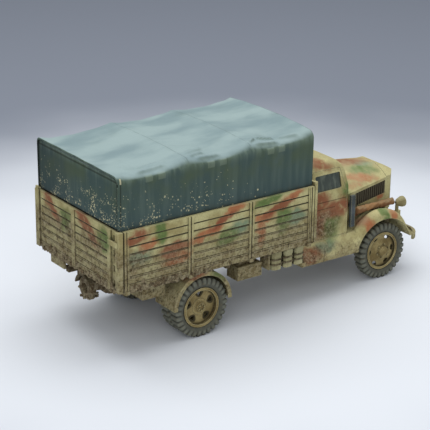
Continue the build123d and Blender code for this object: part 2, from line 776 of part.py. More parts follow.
def cab_form(inset):
    """Closed cab form, every face moved in by inset."""
    rear_x = cab_rear_x + inset
    front_x = windscreen_base_x - inset
    top_x = windscreen_top_x - inset
    roof_z = cab_roof_z - inset
    wall_y = cab_half_width - inset
    roof_y = cab_roof_half_width - inset
    edge_z = roof_z - 0.6
    with BuildPart() as form:
        with BuildSketch(upright(0)):
            with BuildLine():
                Polyline((rear_x, cab_roof_z - roof_edge), (rear_x, cab_bottom_z + inset),
                         (front_x, cab_bottom_z + inset), (front_x, windscreen_base_z),
                         (top_x, windscreen_top_z))
                ThreePointArc((top_x, windscreen_top_z), (top_x - 1.4, roof_z - 1.8), (roof_front_x, roof_z))
                Line((roof_front_x, roof_z), (cab_rear_x + 3.0, roof_z))
                ThreePointArc((cab_rear_x + 3.0, roof_z), (rear_x + 0.9, roof_z - 0.9),
                              (rear_x, cab_roof_z - roof_edge))
            make_face()
        extrude(amount=cab_half_width + cut_over, both=True)
        with BuildSketch(across(cab_rear_x - cut_over)):
            with BuildLine():
                Polyline((-roof_y, cab_roof_z - roof_drop), (-wall_y, cab_belt_z),
                         (-wall_y, cab_bottom_z - cut_over), (wall_y, cab_bottom_z - cut_over),
                         (wall_y, cab_belt_z), (roof_y, cab_roof_z - roof_drop))
                ThreePointArc((roof_y, cab_roof_z - roof_drop), (roof_y - 1.0, roof_z - 1.6),
                              (roof_y - roof_edge, edge_z))
                ThreePointArc((roof_y - roof_edge, edge_z), (0, roof_z), (roof_edge - roof_y, edge_z))
                ThreePointArc((roof_edge - roof_y, edge_z), (1.0 - roof_y, roof_z - 1.6),
                              (-roof_y, cab_roof_z - roof_drop))
            make_face()
        extrude(amount=windscreen_base_x - cab_rear_x + 2 * cut_over, mode=Mode.INTERSECT)
        with BuildSketch(Plane.XY.offset(cab_bottom_z - cut_over)):
            with Locations(((rear_x + front_x) / 2, 0)):
                RectangleRounded(front_x - rear_x, 2 * wall_y, cab_corner_radius - 0.5 * inset)
        extrude(amount=cab_roof_z - cab_bottom_z + 2 * cut_over, mode=Mode.INTERSECT)
    return form.part


cab_side_reach = 4.2


def side_outline(sign, corners, radius):
    """Rounded outline beside the left or right of the cab, as a sketch to cut with."""
    with BuildSketch(upright(sign * (cab_half_width + cut_over))) as outline:
        with BuildLine():
            FilletPolyline(*corners, radius=radius, close=True)
        make_face()
    return outline.sketch


def door_sketch(sign, gap):
    """Door opening, grown by gap all round."""
    top_z = window_top_z + 1.2 + gap
    return side_outline(sign, (
        (door_rear_x - gap, door_bottom_z - gap),
        (door_front_x + gap, door_bottom_z - gap),
        (door_front_x + gap, cab_belt_z),
        (windscreen_top_x - 1.7 + gap, top_z),
        (door_rear_x - gap, top_z),
    ), 0.6)


def side_window_sketch(sign, gap):
    """Side window, shrunk by gap all round."""
    rear_x = door_rear_x + 0.85 + gap
    return side_outline(sign, (
        (rear_x, window_bottom_z + gap),
        (windscreen_base_x - 2.95 - gap, window_bottom_z + gap),
        (windscreen_top_x - 1.75 - gap, window_top_z - gap),
        (rear_x, window_top_z - gap),
    ), 0.5)


windscreen_pillar = 0.7
pane_width = cab_roof_half_width - 3.4
pane_mid_y = windscreen_pillar + pane_width / 2
pane_mid_z = windscreen_low_z + windscreen_height / 2
rear_window_z = cab_roof_z - 7.0
rear_window_width = 8.5
rear_window_height = 4.2
pane_inset = 0.35 * cab_wall


def windscreen_sketch(gap):
    """Both windscreen openings, shrunk by gap all round."""
    with BuildSketch(across(windscreen_base_x + cut_over)) as openings:
        for sign in (1, -1):
            with Locations((sign * pane_mid_y, pane_mid_z)):
                RectangleRounded(pane_width - 2 * gap, windscreen_height - 2 * gap, 0.9)
    return openings.sketch


cab_outer = cab_form(0)
cab_inner = cab_form(cab_wall)
with BuildPart() as cab_shell:
    add(cab_outer)
    add(cab_inner, mode=Mode.SUBTRACT)
    for sign in (1, -1):
        extrude(door_sketch(sign, panel_gap), amount=sign * cab_side_reach, mode=Mode.SUBTRACT)
    extrude(windscreen_sketch(0), amount=-6, mode=Mode.SUBTRACT)
    with BuildSketch(across(cab_rear_x - cut_over)):
        with Locations((0, rear_window_z)):
            RectangleRounded(rear_window_width, rear_window_height, 0.8)
    extrude(amount=3, mode=Mode.SUBTRACT)
keep(cab_shell, "cab_shell")

with BuildPart() as door_left:
    add(cab_outer)
    add(cab_inner, mode=Mode.SUBTRACT)
    extrude(door_sketch(1, 0), amount=cab_side_reach, mode=Mode.INTERSECT)
    extrude(side_window_sketch(1, 0), amount=cab_side_reach, mode=Mode.SUBTRACT)
keep_pair(door_left, "door")

# Window panels, let into their openings
pane_outer = cab_form(pane_inset)
pane_inner = cab_form(pane_inset + glass_wall)
with BuildPart() as left_window:
    add(pane_outer)
    add(pane_inner, mode=Mode.SUBTRACT)
    extrude(side_window_sketch(1, seat_gap), amount=cab_side_reach, mode=Mode.INTERSECT)
with BuildPart() as side_windows:
    add(left_window.part)
    mirror(about=Plane.XZ)
keep(side_windows, "side_windows")

with BuildPart() as windscreen:
    add(pane_outer)
    add(pane_inner, mode=Mode.SUBTRACT)
    extrude(windscreen_sketch(seat_gap), amount=-6, mode=Mode.INTERSECT)
keep(windscreen, "windscreen_panes")

with BuildPart() as rear_window:
    with BuildSketch(across(cab_rear_x + pane_inset)):
        with Locations((0, rear_window_z)):
            RectangleRounded(rear_window_width - 2 * seat_gap, rear_window_height - 2 * seat_gap, 0.8)
    extrude(amount=glass_wall)
keep(rear_window, "rear_window")


# Hood: crowned top from cowl to nose over louvred sides
def hood_section(x, half_width, crown_z, bottom_z):
    """Arch-topped section across the hood."""
    with BuildSketch(across(x)) as section:
        with BuildLine():
            Polyline((-half_width, hood_shoulder_z), (-half_width, bottom_z), (half_width, bottom_z),
                     (half_width, hood_shoulder_z))
            ThreePointArc((half_width, hood_shoulder_z), (0, crown_z), (-half_width, hood_shoulder_z))
        make_face()
    return section.sketch


def hood_hollow(x, half_width, crown_z, bottom_z):
    """Flat-sided section of the space under the hood."""
    side_y = half_width - hood_wall
    rise = crown_z - hood_wall - hood_shoulder_z
    with BuildSketch(across(x)) as section:
        with BuildLine():
            Polyline(
                (-side_y, bottom_z),
                (side_y, bottom_z),
                (side_y, hood_shoulder_z - 0.2),
                (0.6 * side_y, hood_shoulder_z + 0.55 * rise),
                (0.3 * side_y, hood_shoulder_z + 0.85 * rise),
                (-0.3 * side_y, hood_shoulder_z + 0.85 * rise),
                (-0.6 * side_y, hood_shoulder_z + 0.55 * rise),
                (-side_y, hood_shoulder_z - 0.2),
                close=True,
            )
        make_face()
    return section.sketch


hood_edge_z = hood_shoulder_z - hood_lip
with BuildPart() as hood_top:
    loft([hood_section(cowl_x, hood_rear_half_width, hood_rear_crown_z, hood_edge_z),
          hood_section(hood_front_x, hood_front_half_width, hood_front_crown_z, hood_edge_z)], ruled=True)
    loft([hood_hollow(cowl_x, hood_rear_half_width, hood_rear_crown_z, hood_edge_z),
          hood_hollow(hood_front_x, hood_front_half_width, hood_front_crown_z, hood_edge_z)],
         ruled=True, mode=Mode.SUBTRACT)
keep(hood_top, "hood_top")

louvre_count = 14
louvre_width = 0.5
louvre_recess = 0.2
louvre_proud = 0.1
louvre_panel_rear = 4.1
louvre_panel_margin = 0.7
louvre_panel_height = 3.7
side_top_z = hood_edge_z - seat_gap
side_taper = hood_rear_half_width - hood_front_half_width
side_angle = math.atan2(side_taper, hood_front_x - cowl_x)
side_length = math.hypot(side_taper, hood_front_x - cowl_x)
side_plane = Plane(
    origin=(cowl_x, hood_rear_half_width, 0),
    x_dir=(math.cos(side_angle), -math.sin(side_angle), 0),
    z_dir=(-math.sin(side_angle), -math.cos(side_angle), 0),
)
louvre_panel_length = side_length - louvre_panel_rear - louvre_panel_margin
louvre_mid_x = louvre_panel_rear + louvre_panel_length / 2
louvre_mid_z = side_top_z - 0.2 - louvre_panel_height / 2
with BuildPart() as hood_side_left:
    with BuildSketch(side_plane):
        with Locations((side_length / 2, (hood_bottom_z + side_top_z) / 2)):
            Rectangle(side_length, side_top_z - hood_bottom_z)
    extrude(amount=hood_wall)
    with BuildSketch(side_plane):
        with Locations((louvre_mid_x, louvre_mid_z)):
            Rectangle(louvre_panel_length, louvre_panel_height)
    extrude(amount=louvre_recess, mode=Mode.SUBTRACT)
    with BuildSketch(side_plane.offset(louvre_recess)):
        with Locations((louvre_mid_x, louvre_mid_z)):
            with GridLocations(louvre_panel_length / louvre_count, 0, louvre_count, 1):
                Rectangle(louvre_width, louvre_panel_height - 0.3)
    extrude(amount=-louvre_recess - louvre_proud)
keep_pair(hood_side_left, "hood_side")

# Nose: rounded radiator shell with an opening for the grille
nose_bottom_z = hood_bottom_z - 2.0
nose_knee_x = nose_x - 0.4
nose_knee_z = hood_front_crown_z - 4.2
nose_corner_x = nose_x - 4.0
grille_z = 21.0
grille_width = 8.4
grille_height = 7.6
with BuildPart() as nose:
    with BuildSketch(upright(0)):
        with BuildLine():
            Polyline((nose_x, nose_knee_z - 3.1), (nose_x, nose_bottom_z), (shell_rear_x, nose_bottom_z),
                     (shell_rear_x, hood_front_crown_z))
            ThreePointArc((shell_rear_x, hood_front_crown_z), (nose_x - 2.4, hood_front_crown_z - 1.6),
                          (nose_knee_x, nose_knee_z))
            ThreePointArc((nose_knee_x, nose_knee_z), (nose_x - 0.1, nose_knee_z - 1.5),
                          (nose_x, nose_knee_z - 3.1))
        make_face()
    extrude(amount=hood_front_half_width + cut_over, both=True)
    with BuildSketch(Plane.XY.offset(nose_bottom_z - cut_over)):
        with BuildLine():
            Polyline((nose_corner_x, hood_front_half_width - 0.2),
                     (shell_rear_x - cut_over, hood_front_half_width),
                     (shell_rear_x - cut_over, -hood_front_half_width),
                     (nose_corner_x, 0.2 - hood_front_half_width))
            ThreePointArc((nose_corner_x, 0.2 - hood_front_half_width), (nose_x, 0),
                          (nose_corner_x, hood_front_half_width - 0.2))
        make_face()
    extrude(amount=hood_front_crown_z - nose_bottom_z + 2 * cut_over, mode=Mode.INTERSECT)
    extrude(hood_section(shell_rear_x - cut_over, hood_front_half_width + 0.1, hood_front_crown_z,
                         nose_bottom_z - cut_over), amount=10, mode=Mode.INTERSECT)
    with BuildSketch(across(nose_x + cut_over)):
        with Locations((0, grille_z)):
            RectangleRounded(grille_width, grille_height, 0.4)
    extrude(amount=-5.0, mode=Mode.SUBTRACT)
    with BuildSketch(across(shell_rear_x - cut_over)):
        with Locations((0, nose_bottom_z + 4.0)):
            Rectangle(2 * (hood_front_half_width - hood_wall), 10.0)
    extrude(amount=nose_x - 3.0 - shell_rear_x + cut_over, mode=Mode.SUBTRACT)
keep(nose, "nose_shell")

# Grille: upright bars in the nose opening
bar_count = 9
bar_pitch = 0.86
bar_width = 0.34
bar_depth = 1.3
bar_bow = 0.05
grille_back = 0.24
grille_inner_height = grille_height - 0.2
with BuildPart() as grille:
    with BuildSketch(Plane.XY.offset(grille_z - grille_inner_height / 2)):
        for index in range(bar_count):
            bar_y = (index - (bar_count - 1) / 2) * bar_pitch
            with Locations((nose_x - 1.15 - bar_bow * bar_y ** 2, bar_y)):
                Rectangle(bar_depth, bar_width)
        with Locations((nose_x - 1.85, 0)):
            Rectangle(grille_back, grille_width - 0.4)
    extrude(amount=grille_inner_height)
keep(grille, "grille")

# Front fenders: rolled crown, flared lip, running board, sloping apron and inner valance
sweep_angle = math.radians(30)
flare_angle = math.radians(25)
fender_foot_z = axle_z - 4.0
sweep_top = (fender_centre_x - fender_radius * math.cos(sweep_angle),
             fender_centre_z + fender_radius * math.sin(sweep_angle))
sweep_radius = (sweep_top[1] - board_top_z) / (1 - math.sin(sweep_angle))
sweep_centre_x = sweep_top[0] - sweep_radius * math.cos(sweep_angle)
sweep_centre_z = board_top_z + sweep_radius
sweep_mid_angle = (math.radians(90) + sweep_angle) / 2
sweep_mid = (sweep_centre_x + sweep_radius * math.cos(sweep_mid_angle),
             sweep_centre_z - sweep_radius * math.sin(sweep_mid_angle))
flare_start = (fender_centre_x + fender_radius * math.cos(flare_angle),
               fender_centre_z + fender_radius * math.sin(flare_angle))
flare_tip = (front_axle_x + 10.9, fender_bottom_z + 0.15)
apron_rear_x = cab_rear_x - 2.3
apron_top_y = cab_half_width
apron_inner_y = 12.5
apron_top_z = cab_bottom_z - seat_gap
apron_front_x = arch_centre_x - arch_radius + 0.5
valance_crown_z = fender_crown_z - valance_drop
with BuildPart() as fender_left:
    with BuildSketch(upright(fender_inner_y)):
        with BuildLine():
            ThreePointArc((sweep_centre_x, board_top_z), sweep_mid, sweep_top)
            ThreePointArc(sweep_top, (fender_centre_x, fender_crown_z), flare_start)
            TangentArc(flare_start, flare_tip, tangent=(math.sin(flare_angle), -math.cos(flare_angle)))
            Polyline(flare_tip, (flare_tip[0], fender_foot_z), (sweep_centre_x, fender_foot_z),
                     (sweep_centre_x, board_top_z))
        make_face()
    extrude(amount=fender_inner_y - fender_outer_y)
    rolled = [edge for edge in fender_left.edges().filter_by(GeomType.CIRCLE)]
    fillet(rolled, fender_round)
    with BuildSketch(across(board_rear_x)):
        with BuildLine():
            Polyline(
                (apron_inner_y, board_bottom_z),
                (board_outer_y, board_bottom_z),
                (board_outer_y, board_top_z),
                (apron_inner_y, board_top_z + 0.1),
                close=True,
            )
        make_face()
    extrude(amount=apron_front_x - board_rear_x)
    with BuildSketch(across(apron_rear_x)):
        with BuildLine():
            Polyline(
                (apron_inner_y, board_bottom_z),
                (board_outer_y, board_bottom_z),
                (board_outer_y, board_top_z),
                (apron_top_y, apron_top_z),
                (apron_inner_y, apron_top_z),
                close=True,
            )
        make_face()
    extrude(amount=apron_front_x - apron_rear_x)
    with BuildSketch(upright(valance_inner_y)):
        with BuildLine():
            Line((cowl_x + 0.8, fender_foot_z), (cowl_x + 0.8, board_top_z))
            ThreePointArc((cowl_x + 0.8, board_top_z), (fender_centre_x - 6.3, valance_crown_z - 1.8),
                          (fender_centre_x, valance_crown_z))
            ThreePointArc((fender_centre_x, valance_crown_z), (fender_centre_x + 8.1, valance_crown_z - 2.8),
                          (flare_tip[0] - 2.0, fender_bottom_z))
            Polyline((flare_tip[0] - 2.0, fender_bottom_z), (flare_tip[0] - 2.0, fender_foot_z),
                     (cowl_x + 0.8, fender_foot_z))
        make_face()
    extrude(amount=valance_inner_y - fender_inner_y - 0.1)
    with BuildSketch(upright(valance_inner_y - cut_over)):
        with Locations((arch_centre_x, arch_centre_z)):
            Circle(arch_radius)
        with Locations((arch_centre_x, fender_bottom_z)):
            Rectangle(2 * arch_radius, 2 * arch_radius, align=(Align.MIN, Align.MAX))
        with Locations((arch_centre_x, board_bottom_z)):
            Rectangle(arch_centre_x - board_rear_x + cut_over, 2 * arch_radius, align=(Align.MAX, Align.MAX))
    extrude(amount=valance_inner_y - 2 * cut_over - board_outer_y, mode=Mode.SUBTRACT)
keep_pair(fender_left, "fender")

# Rear mudguards: rolled sheet over the twin wheels, hung on stays from the bed
mudguard_z = axle_z + mudguard_lift
mudguard_top_z = mudguard_z + mudguard_radius
mudguard_lip_radius = mudguard_radius - 1.1
mudguard_lip = 0.3
guard_ring = (mudguard_radius, mudguard_radius - mudguard_wall, mudguard_outer_y - mudguard_inner_y)
lip_ring = (mudguard_radius, mudguard_lip_radius, mudguard_lip)
with BuildPart() as mudguard_left:
    for outer, inner, reach in (guard_ring, lip_ring):
        with BuildSketch(upright(mudguard_outer_y)):
            with Locations((rear_axle_x, mudguard_z)):
                Circle(outer)
                Circle(inner, mode=Mode.SUBTRACT)
        extrude(amount=reach)
    with BuildSketch(upright(mudguard_outer_y + cut_over)):
        with Locations((rear_axle_x, mudguard_z)):
            Rectangle(3 * mudguard_radius, 2 * mudguard_radius, align=(Align.CENTER, Align.MAX))
    extrude(amount=mudguard_outer_y, mode=Mode.SUBTRACT)
keep_pair(mudguard_left, "rear_mudguard")

stay_y = mudguard_outer_y - 4.5
with BuildPart() as mudguard_stays:
    with BuildSketch(Plane.XY.offset(mudguard_top_z)):
        for sign in (1, -1):
            with Locations((rear_axle_x, sign * stay_y)):
                Rectangle(1.6, 1.0)
    extrude(amount=bed_bottom_z - mudguard_top_z)
keep(mudguard_stays, "mudguard_stays")

# Bumper: blade bent back round the front wheels, on two brackets
bumper_height = 1.5
bumper_wall = 0.7
bumper_z = 9.9
bumper_face_x = front_axle_x + front_overhang
bumper_back_x = bumper_face_x - bumper_wall
bumper_bend_y = 11.0
bumper_end_y = 16.6
with BuildPart() as bumper:
    with BuildSketch(Plane.XY.offset(bumper_z)):
        with BuildLine():
            Line((bumper_face_x, 0), (bumper_face_x, bumper_bend_y))
            ThreePointArc((bumper_face_x, bumper_bend_y), (bumper_face_x - 0.9, bumper_bend_y + 3.2),
                          (bumper_face_x - 3.6, bumper_end_y))
            Line((bumper_face_x - 3.6, bumper_end_y), (bumper_face_x - 4.1, bumper_end_y - 0.5))
            ThreePointArc((bumper_face_x - 4.1, bumper_end_y - 0.5),
                          (bumper_face_x - 1.6, bumper_bend_y + 2.8),
                          (bumper_back_x, bumper_bend_y))
            Polyline((bumper_back_x, bumper_bend_y), (bumper_back_x, 0), (bumper_face_x, 0))
        make_face()
        mirror(about=Plane.XZ)
    extrude(amount=bumper_height)
    with BuildSketch(Plane.XY.offset(bumper_z)):
        for sign in (1, -1):
            with Locations(((rail_front_x + bumper_back_x) / 2, sign * rail_offset_y)):
                Rectangle(bumper_back_x - rail_front_x, 1.0)
    extrude(amount=rail_top_z - bumper_z)
keep(bumper, "bumper")

# Headlamps on posts shaped to the valances that they stand on
lamp_face_x = front_axle_x + 9.7
lamp_y = 11.8
lamp_z = 20.0
lamp_radius = 1.5
lamp_length = 2.6
lamp_post_x = lamp_face_x - 2.2
lamp_post_foot_z = 14.0
lamp_sides = 16
lamp_steps = (
    # behind the face, radius there, behind the face, radius there
    (0, lamp_radius, 0.6, lamp_radius),
    (0.6, lamp_radius, lamp_length - 0.7, 0.7 * lamp_radius),
    (lamp_length - 0.7, 0.7 * lamp_radius, lamp_length, 0.3 * lamp_radius),
)
with BuildPart() as lamp_left:
    for from_x, from_radius, to_x, to_radius in lamp_steps:
        loft([cross_ring(lamp_face_x - from_x, (lamp_y, lamp_z), from_radius, lamp_sides),
              cross_ring(lamp_face_x - to_x, (lamp_y, lamp_z), to_radius, lamp_sides)], ruled=True)
    with BuildSketch(Plane.XY.offset(lamp_z - 0.6)):
        with Locations((lamp_post_x, lamp_y)):
            Rectangle(0.7, 0.7)
    extrude(amount=lamp_post_foot_z - lamp_z)
    add(fender_left.part, mode=Mode.SUBTRACT)
with BuildPart() as headlamps:
    add(lamp_left.part.solids().sort_by(Axis.Z)[-1])
    mirror(about=Plane.XZ)
keep(headlamps, "headlamps")

# Rolled sheet lying along the hood's right side
roll_radius = 1.05
roll_start_y = cab_half_width - 1.45
roll_start = Vector(front_axle_x - 9.1, -roll_start_y, 21.7)
roll_end = Vector(front_axle_x + 6.8, -10.5, 20.2)
with BuildPart() as bundle:
    with BuildSketch(Plane(origin=roll_start, z_dir=roll_end - roll_start)):
        Circle(roll_radius)
    extrude(amount=(roll_end - roll_start).length)
keep(bundle, "rolled_sheet")

# Flat tool standing at the cowl's right side on its clip
tool_x = cowl_x + 0.5
tool_thickness = 1.4
tool_width = 0.9
tool_height = 9.3
tool_y = cab_half_width - 0.85
tool_z = 22.25
clip_outer_y = tool_y - tool_width / 2
clip_inner_y = hood_rear_half_width - 0.15
with BuildPart() as tool:
    with BuildSketch(across(tool_x)):
        with Locations((-tool_y, tool_z)):
            RectangleRounded(tool_width, tool_height, 0.3)
    extrude(amount=tool_thickness)
    with BuildSketch(across(tool_x + 0.3)):
        with Locations((-(clip_outer_y + clip_inner_y) / 2, tool_z + 1.5)):
            Rectangle(clip_outer_y - clip_inner_y, 1.0)
    extrude(amount=tool_thickness - 0.6)
keep(tool, "flat_tool")

# Toolbox, canister rack with canisters and rear locker, hung under the bed's right side
toolbox_x = bed_front_x - 18.75
toolbox_y = bed_half_width - 5.5
toolbox_z = 12.0
toolbox_height = 3.8
toolbox_length = 7.8
toolbox_width = 4.8
toolbox_neck_length = 6.0
toolbox_neck_width = 2.0
with BuildPart() as toolbox:
    with BuildSketch(Plane.XY.offset(toolbox_z)):
        with Locations((toolbox_x, -toolbox_y)):
            Rectangle(toolbox_length, toolbox_width)
    extrude(amount=toolbox_height)
    with BuildSketch(Plane.XY.offset(toolbox_z + toolbox_height)):
        with Locations((toolbox_x, -toolbox_y)):
            Rectangle(toolbox_neck_length, toolbox_neck_width)
    extrude(amount=bed_bottom_z - toolbox_z - toolbox_height)
keep(toolbox, "toolbox")

canister_y = bed_half_width - 4.0
canister_foot_z = 12.6
canister_height = 3.8
canister_cap_height = 1.2
canister_places = (bed_front_x - 10.05, bed_front_x - 6.3, bed_front_x - 2.75)
canister_levels = (
    # foot, height, length, depth, corner
    (canister_foot_z, canister_height, 3.0, 3.4, 0.6),
    (canister_foot_z + canister_height, canister_cap_height, 3.3, 3.7, 0.7),
)
with BuildPart() as canisters:
    for foot_z, height, length, depth, corner in canister_levels:
        with BuildSketch(Plane.XY.offset(foot_z)) as level:
            for place in canister_places:
                with Locations((place, -canister_y)):
                    Rectangle(length, depth)
            chamfer(level.vertices(), corner)
        extrude(amount=height)
keep(canisters, "canisters")

rack_bottom_z = canister_foot_z + canister_height + canister_cap_height
rack_rear_x = bed_front_x - 13.35
rack_length = 12.6
rack_depth = 3.8
rack_end_height = 5.6
with BuildPart() as canister_rack:
    with BuildSketch(Plane.XY.offset(rack_bottom_z)):
        with Locations((rack_rear_x + rack_length / 2, -canister_y)):
            Rectangle(rack_length, rack_depth)
    extrude(amount=bed_bottom_z - rack_bottom_z)
    with BuildSketch(across(rack_rear_x)):
        with Locations((-canister_y, rack_bottom_z - 1.5)):
            Rectangle(rack_depth, rack_end_height)
    extrude(amount=0.4)
keep(canister_rack, "canister_rack")

locker_bottom_z = 13.6
locker_x = rear_axle_x - 13.6
locker_y = bed_half_width - 7.7
locker_length = 6.8
locker_width = 8.0
with BuildPart() as locker:
    with BuildSketch(Plane.XY.offset(locker_bottom_z)):
        with Locations((locker_x, -locker_y)):
            Rectangle(locker_length, locker_width)
    extrude(amount=bed_bottom_z - locker_bottom_z)
keep(locker, "rear_locker")

# Tow coupling: ringed jaw on the rear cross member under a curved guard
coupling_z = 13.0
coupling_rear_x = rear_axle_x - 24.0
coupling_radius = 3.2
coupling_length = 2.0
coupling_bevel = 0.6
coupling_bore_radius = 1.4
coupling_bore_depth = 1.7
coupling_neck_radius = 1.6
coupling_sides = 20
coupling_steps = (
    # ahead of the rear face, radius there, ahead of the rear face, radius there
    (0, coupling_radius - coupling_bevel, coupling_bevel, coupling_radius),
    (coupling_bevel, coupling_radius, coupling_length - coupling_bevel, coupling_radius),
    (coupling_length - coupling_bevel, coupling_radius, coupling_length, coupling_radius - coupling_bevel),
    (coupling_length, coupling_neck_radius, rail_rear_x - coupling_rear_x, coupling_neck_radius),
)
with BuildPart() as coupling:
    for from_x, from_radius, to_x, to_radius in coupling_steps:
        loft([cross_ring(coupling_rear_x + from_x, (0, coupling_z), from_radius, coupling_sides),
              cross_ring(coupling_rear_x + to_x, (0, coupling_z), to_radius, coupling_sides)], ruled=True)
    with BuildSketch(across(coupling_rear_x)):
        with Locations((0, coupling_z)):
            Circle(coupling_bore_radius)
    extrude(amount=coupling_bore_depth, mode=Mode.SUBTRACT)
keep(coupling, "tow_coupling")

guard_radius = bed_bottom_z - bearer_height - seat_gap - coupling_z
guard_wall = 0.45
guard_length = 3.0
guard_foot_z = coupling_z + 0.7
with BuildPart() as guard:
    with BuildSketch(across(coupling_rear_x - 0.6)):
        with Locations((0, coupling_z)):
            Circle(guard_radius)
            Circle(guard_radius - guard_wall, mode=Mode.SUBTRACT)
        with Locations((0, guard_foot_z)):
            Rectangle(3 * guard_radius, 2 * guard_radius, align=(Align.CENTER, Align.MAX), mode=Mode.SUBTRACT)
    extrude(amount=guard_length)
keep(guard, "coupling_guard")
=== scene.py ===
"""Looks of the painted 1:56 model truck, built round its CAD frame.

Everything is in metres in the frame's own axes: +X forward, +Y to the truck's left, +Z up.
Shapes are worked out in millimetres and turned into metres as they are put into a mesh.
"""

import json
import math

import bpy
import numpy as np
from mathutils import Matrix, Vector


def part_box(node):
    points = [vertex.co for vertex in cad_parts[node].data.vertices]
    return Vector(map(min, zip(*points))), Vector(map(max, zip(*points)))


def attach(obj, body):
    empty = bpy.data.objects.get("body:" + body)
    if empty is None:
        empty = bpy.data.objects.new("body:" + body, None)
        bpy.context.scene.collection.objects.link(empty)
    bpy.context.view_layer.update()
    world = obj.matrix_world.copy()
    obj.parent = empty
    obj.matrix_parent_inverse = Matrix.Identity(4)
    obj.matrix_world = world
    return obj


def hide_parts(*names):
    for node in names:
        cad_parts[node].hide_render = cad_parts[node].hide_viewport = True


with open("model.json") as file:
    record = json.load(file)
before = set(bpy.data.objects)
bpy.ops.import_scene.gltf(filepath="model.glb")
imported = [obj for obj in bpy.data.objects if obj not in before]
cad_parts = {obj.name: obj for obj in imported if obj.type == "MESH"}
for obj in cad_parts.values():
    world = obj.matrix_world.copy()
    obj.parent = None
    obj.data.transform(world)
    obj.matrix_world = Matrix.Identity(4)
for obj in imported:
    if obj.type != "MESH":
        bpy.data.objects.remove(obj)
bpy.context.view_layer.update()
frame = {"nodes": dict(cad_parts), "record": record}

MM = 0.001
RECORD = frame["record"]
JOINT_PLACES = {joint["name"]: joint["pos_m"] for joint in RECORD["behaviour"]["joints"]}

# Rear and front axle along X, and the height of both, in millimetres
RX = JOINT_PLACES["rear_right_roll"][0] / MM
FX = JOINT_PLACES["front_right_roll"][0] / MM
AXLE_Z = JOINT_PLACES["rear_right_roll"][2] / MM

# The photograph's viewpoint, in full-size metres about the rear axle
MODEL_SCALE = 56.0
CAMERA_ANGLES = (-35.909, 20.877, 0.654)
CAMERA_DISTANCE = 24.253
CAMERA_TARGET = (0.955, 0.0, 1.355)
FOCAL_PIXELS = 1616.632
IMAGE_SIDE = 430
SENSOR_WIDTH = 36.0

# Lamps: name, place, width and power
LAMPS = (("overhead", (0.02, 0.06, 0.42), 0.45, 1.4), ("side", (-0.28, -0.34, 0.26), 0.30, 0.6))
LAMP_AIM = (0, 0, 0.02)
FILL_COLOUR = (0.93, 0.96, 1.0, 1)
FILL_STRENGTH = 0.50

# Floor: half its side, how far out it stays pale, and from where it is grey
FLOOR_HALF = 3.0
FLOOR_PALE_OUT = 0.070
FLOOR_GREY_OUT = 0.19

# Boards of the bed's sides, and the half width of the dark line of wash and painted shade between two of them
PLANKS = 8
PLANK_LINE = (0.11, 0.05)

# Blots of camouflage: full within the first share of their half sizes, gone at the second
BLOT_FULL, BLOT_GONE = 0.7, 1.65
BLOT_WANDER = 4.0

# Mud: how far its upper edge wanders up and down
MUD_WANDER = 9.0

# Tilt, in millimetres: places of its four bows, with eaves and crown at each; patches along the right
# shoulder; the slit with its dab of cream at the rear corner; the painted shadow under the hem
TILT_BOWS = (RX - 25.8, RX - 4.8, RX + 14.6, RX + 34.4)
TILT_EDGE_Z = (48.9, 49.3, 49.4, 49.6)
TILT_CROWN = (0.15, 0.6, 0.8, 0.9)
TILT_FOOT_Z = 33.2
TILT_PATCHES = (-16.6, -12.9, 1.9, 5.6, 20.6, 24.2)
PATCH_HALF, PATCH_Z, PATCH_HALF_HEIGHT = 1.0, 46.9, 0.75
TILT_SLIT = ((RX - 24.95, -25, 36.0), (RX - 24.75, -18, 47.6))
TILT_DAB = ((RX - 25.0, -25, 47.0), (RX - 24.7, -15, 48.2))
TILT_HEM = ((RX - 27, -25, 47.2), (RX - 25.6, 25, 47.5))


def node_box(name):
    """Lowest and highest corner of a node of the frame, in millimetres."""
    low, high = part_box(name)
    return np.array(low) / MM, np.array(high) / MM


def paint(red, green, blue):
    """Linear colour of a paint given in ordinary 0 to 255 values."""
    values = np.array((red, green, blue)) / 255.0
    linear = np.where(values <= 0.04045, values / 12.92, ((values + 0.055) / 1.055) ** 2.4)
    return (*linear.tolist(), 1.0)


SAND = paint(192, 185, 134)
SAND_DEEP = paint(160, 148, 100)
SAND_PALE = paint(212, 208, 166)
LEAF_GREEN = paint(86, 114, 58)
SEA_GREEN = paint(112, 138, 112)
RED_BROWN = paint(136, 74, 50)
RUST_RED = paint(172, 100, 64)
# Dark wash, which also stands for painted shade in recesses
WASH_AND_SHADE = paint(38, 32, 22)
# Painted shade on the louvred side panels of the hood
LOUVRE_SHADE = paint(62, 56, 46)
# Painted shade round the openings of the wheel discs
HOLE_SHADE = paint(34, 30, 20)
MUD = paint(104, 84, 58)
MUD_PALE = paint(160, 148, 118)
MUD_DOT = paint(184, 172, 138)
MUD_PIT = paint(54, 42, 30)
TILT_SIDE = paint(68, 86, 82)
TILT_STREAK = paint(90, 106, 98)
TILT_OLIVE = paint(80, 94, 72)
TILT_LOW = paint(60, 78, 86)
TILT_RIM = paint(118, 136, 120)
# Pale top of the tilt: partly dust, partly painted light from above
TILT_TOP = paint(150, 169, 168)
TILT_TOP_DEEP = paint(106, 128, 134)
TILT_SEAM = paint(84, 98, 96)
TILT_PATCH = paint(132, 146, 124)
TILT_SLIT_DARK = paint(40, 46, 36)
# Painted shadow under the tilt's rear hem
TILT_HEM_SHADOW = paint(38, 42, 32)
# Painted shade in the tilt's recesses and painted highlights on its edges
TILT_RECESS_SHADE = paint(34, 38, 30)
TILT_EDGE = paint(134, 152, 136)
CREAM = paint(206, 200, 160)
RUBBER = paint(72, 72, 64)
RUBBER_DUST = paint(122, 124, 110)
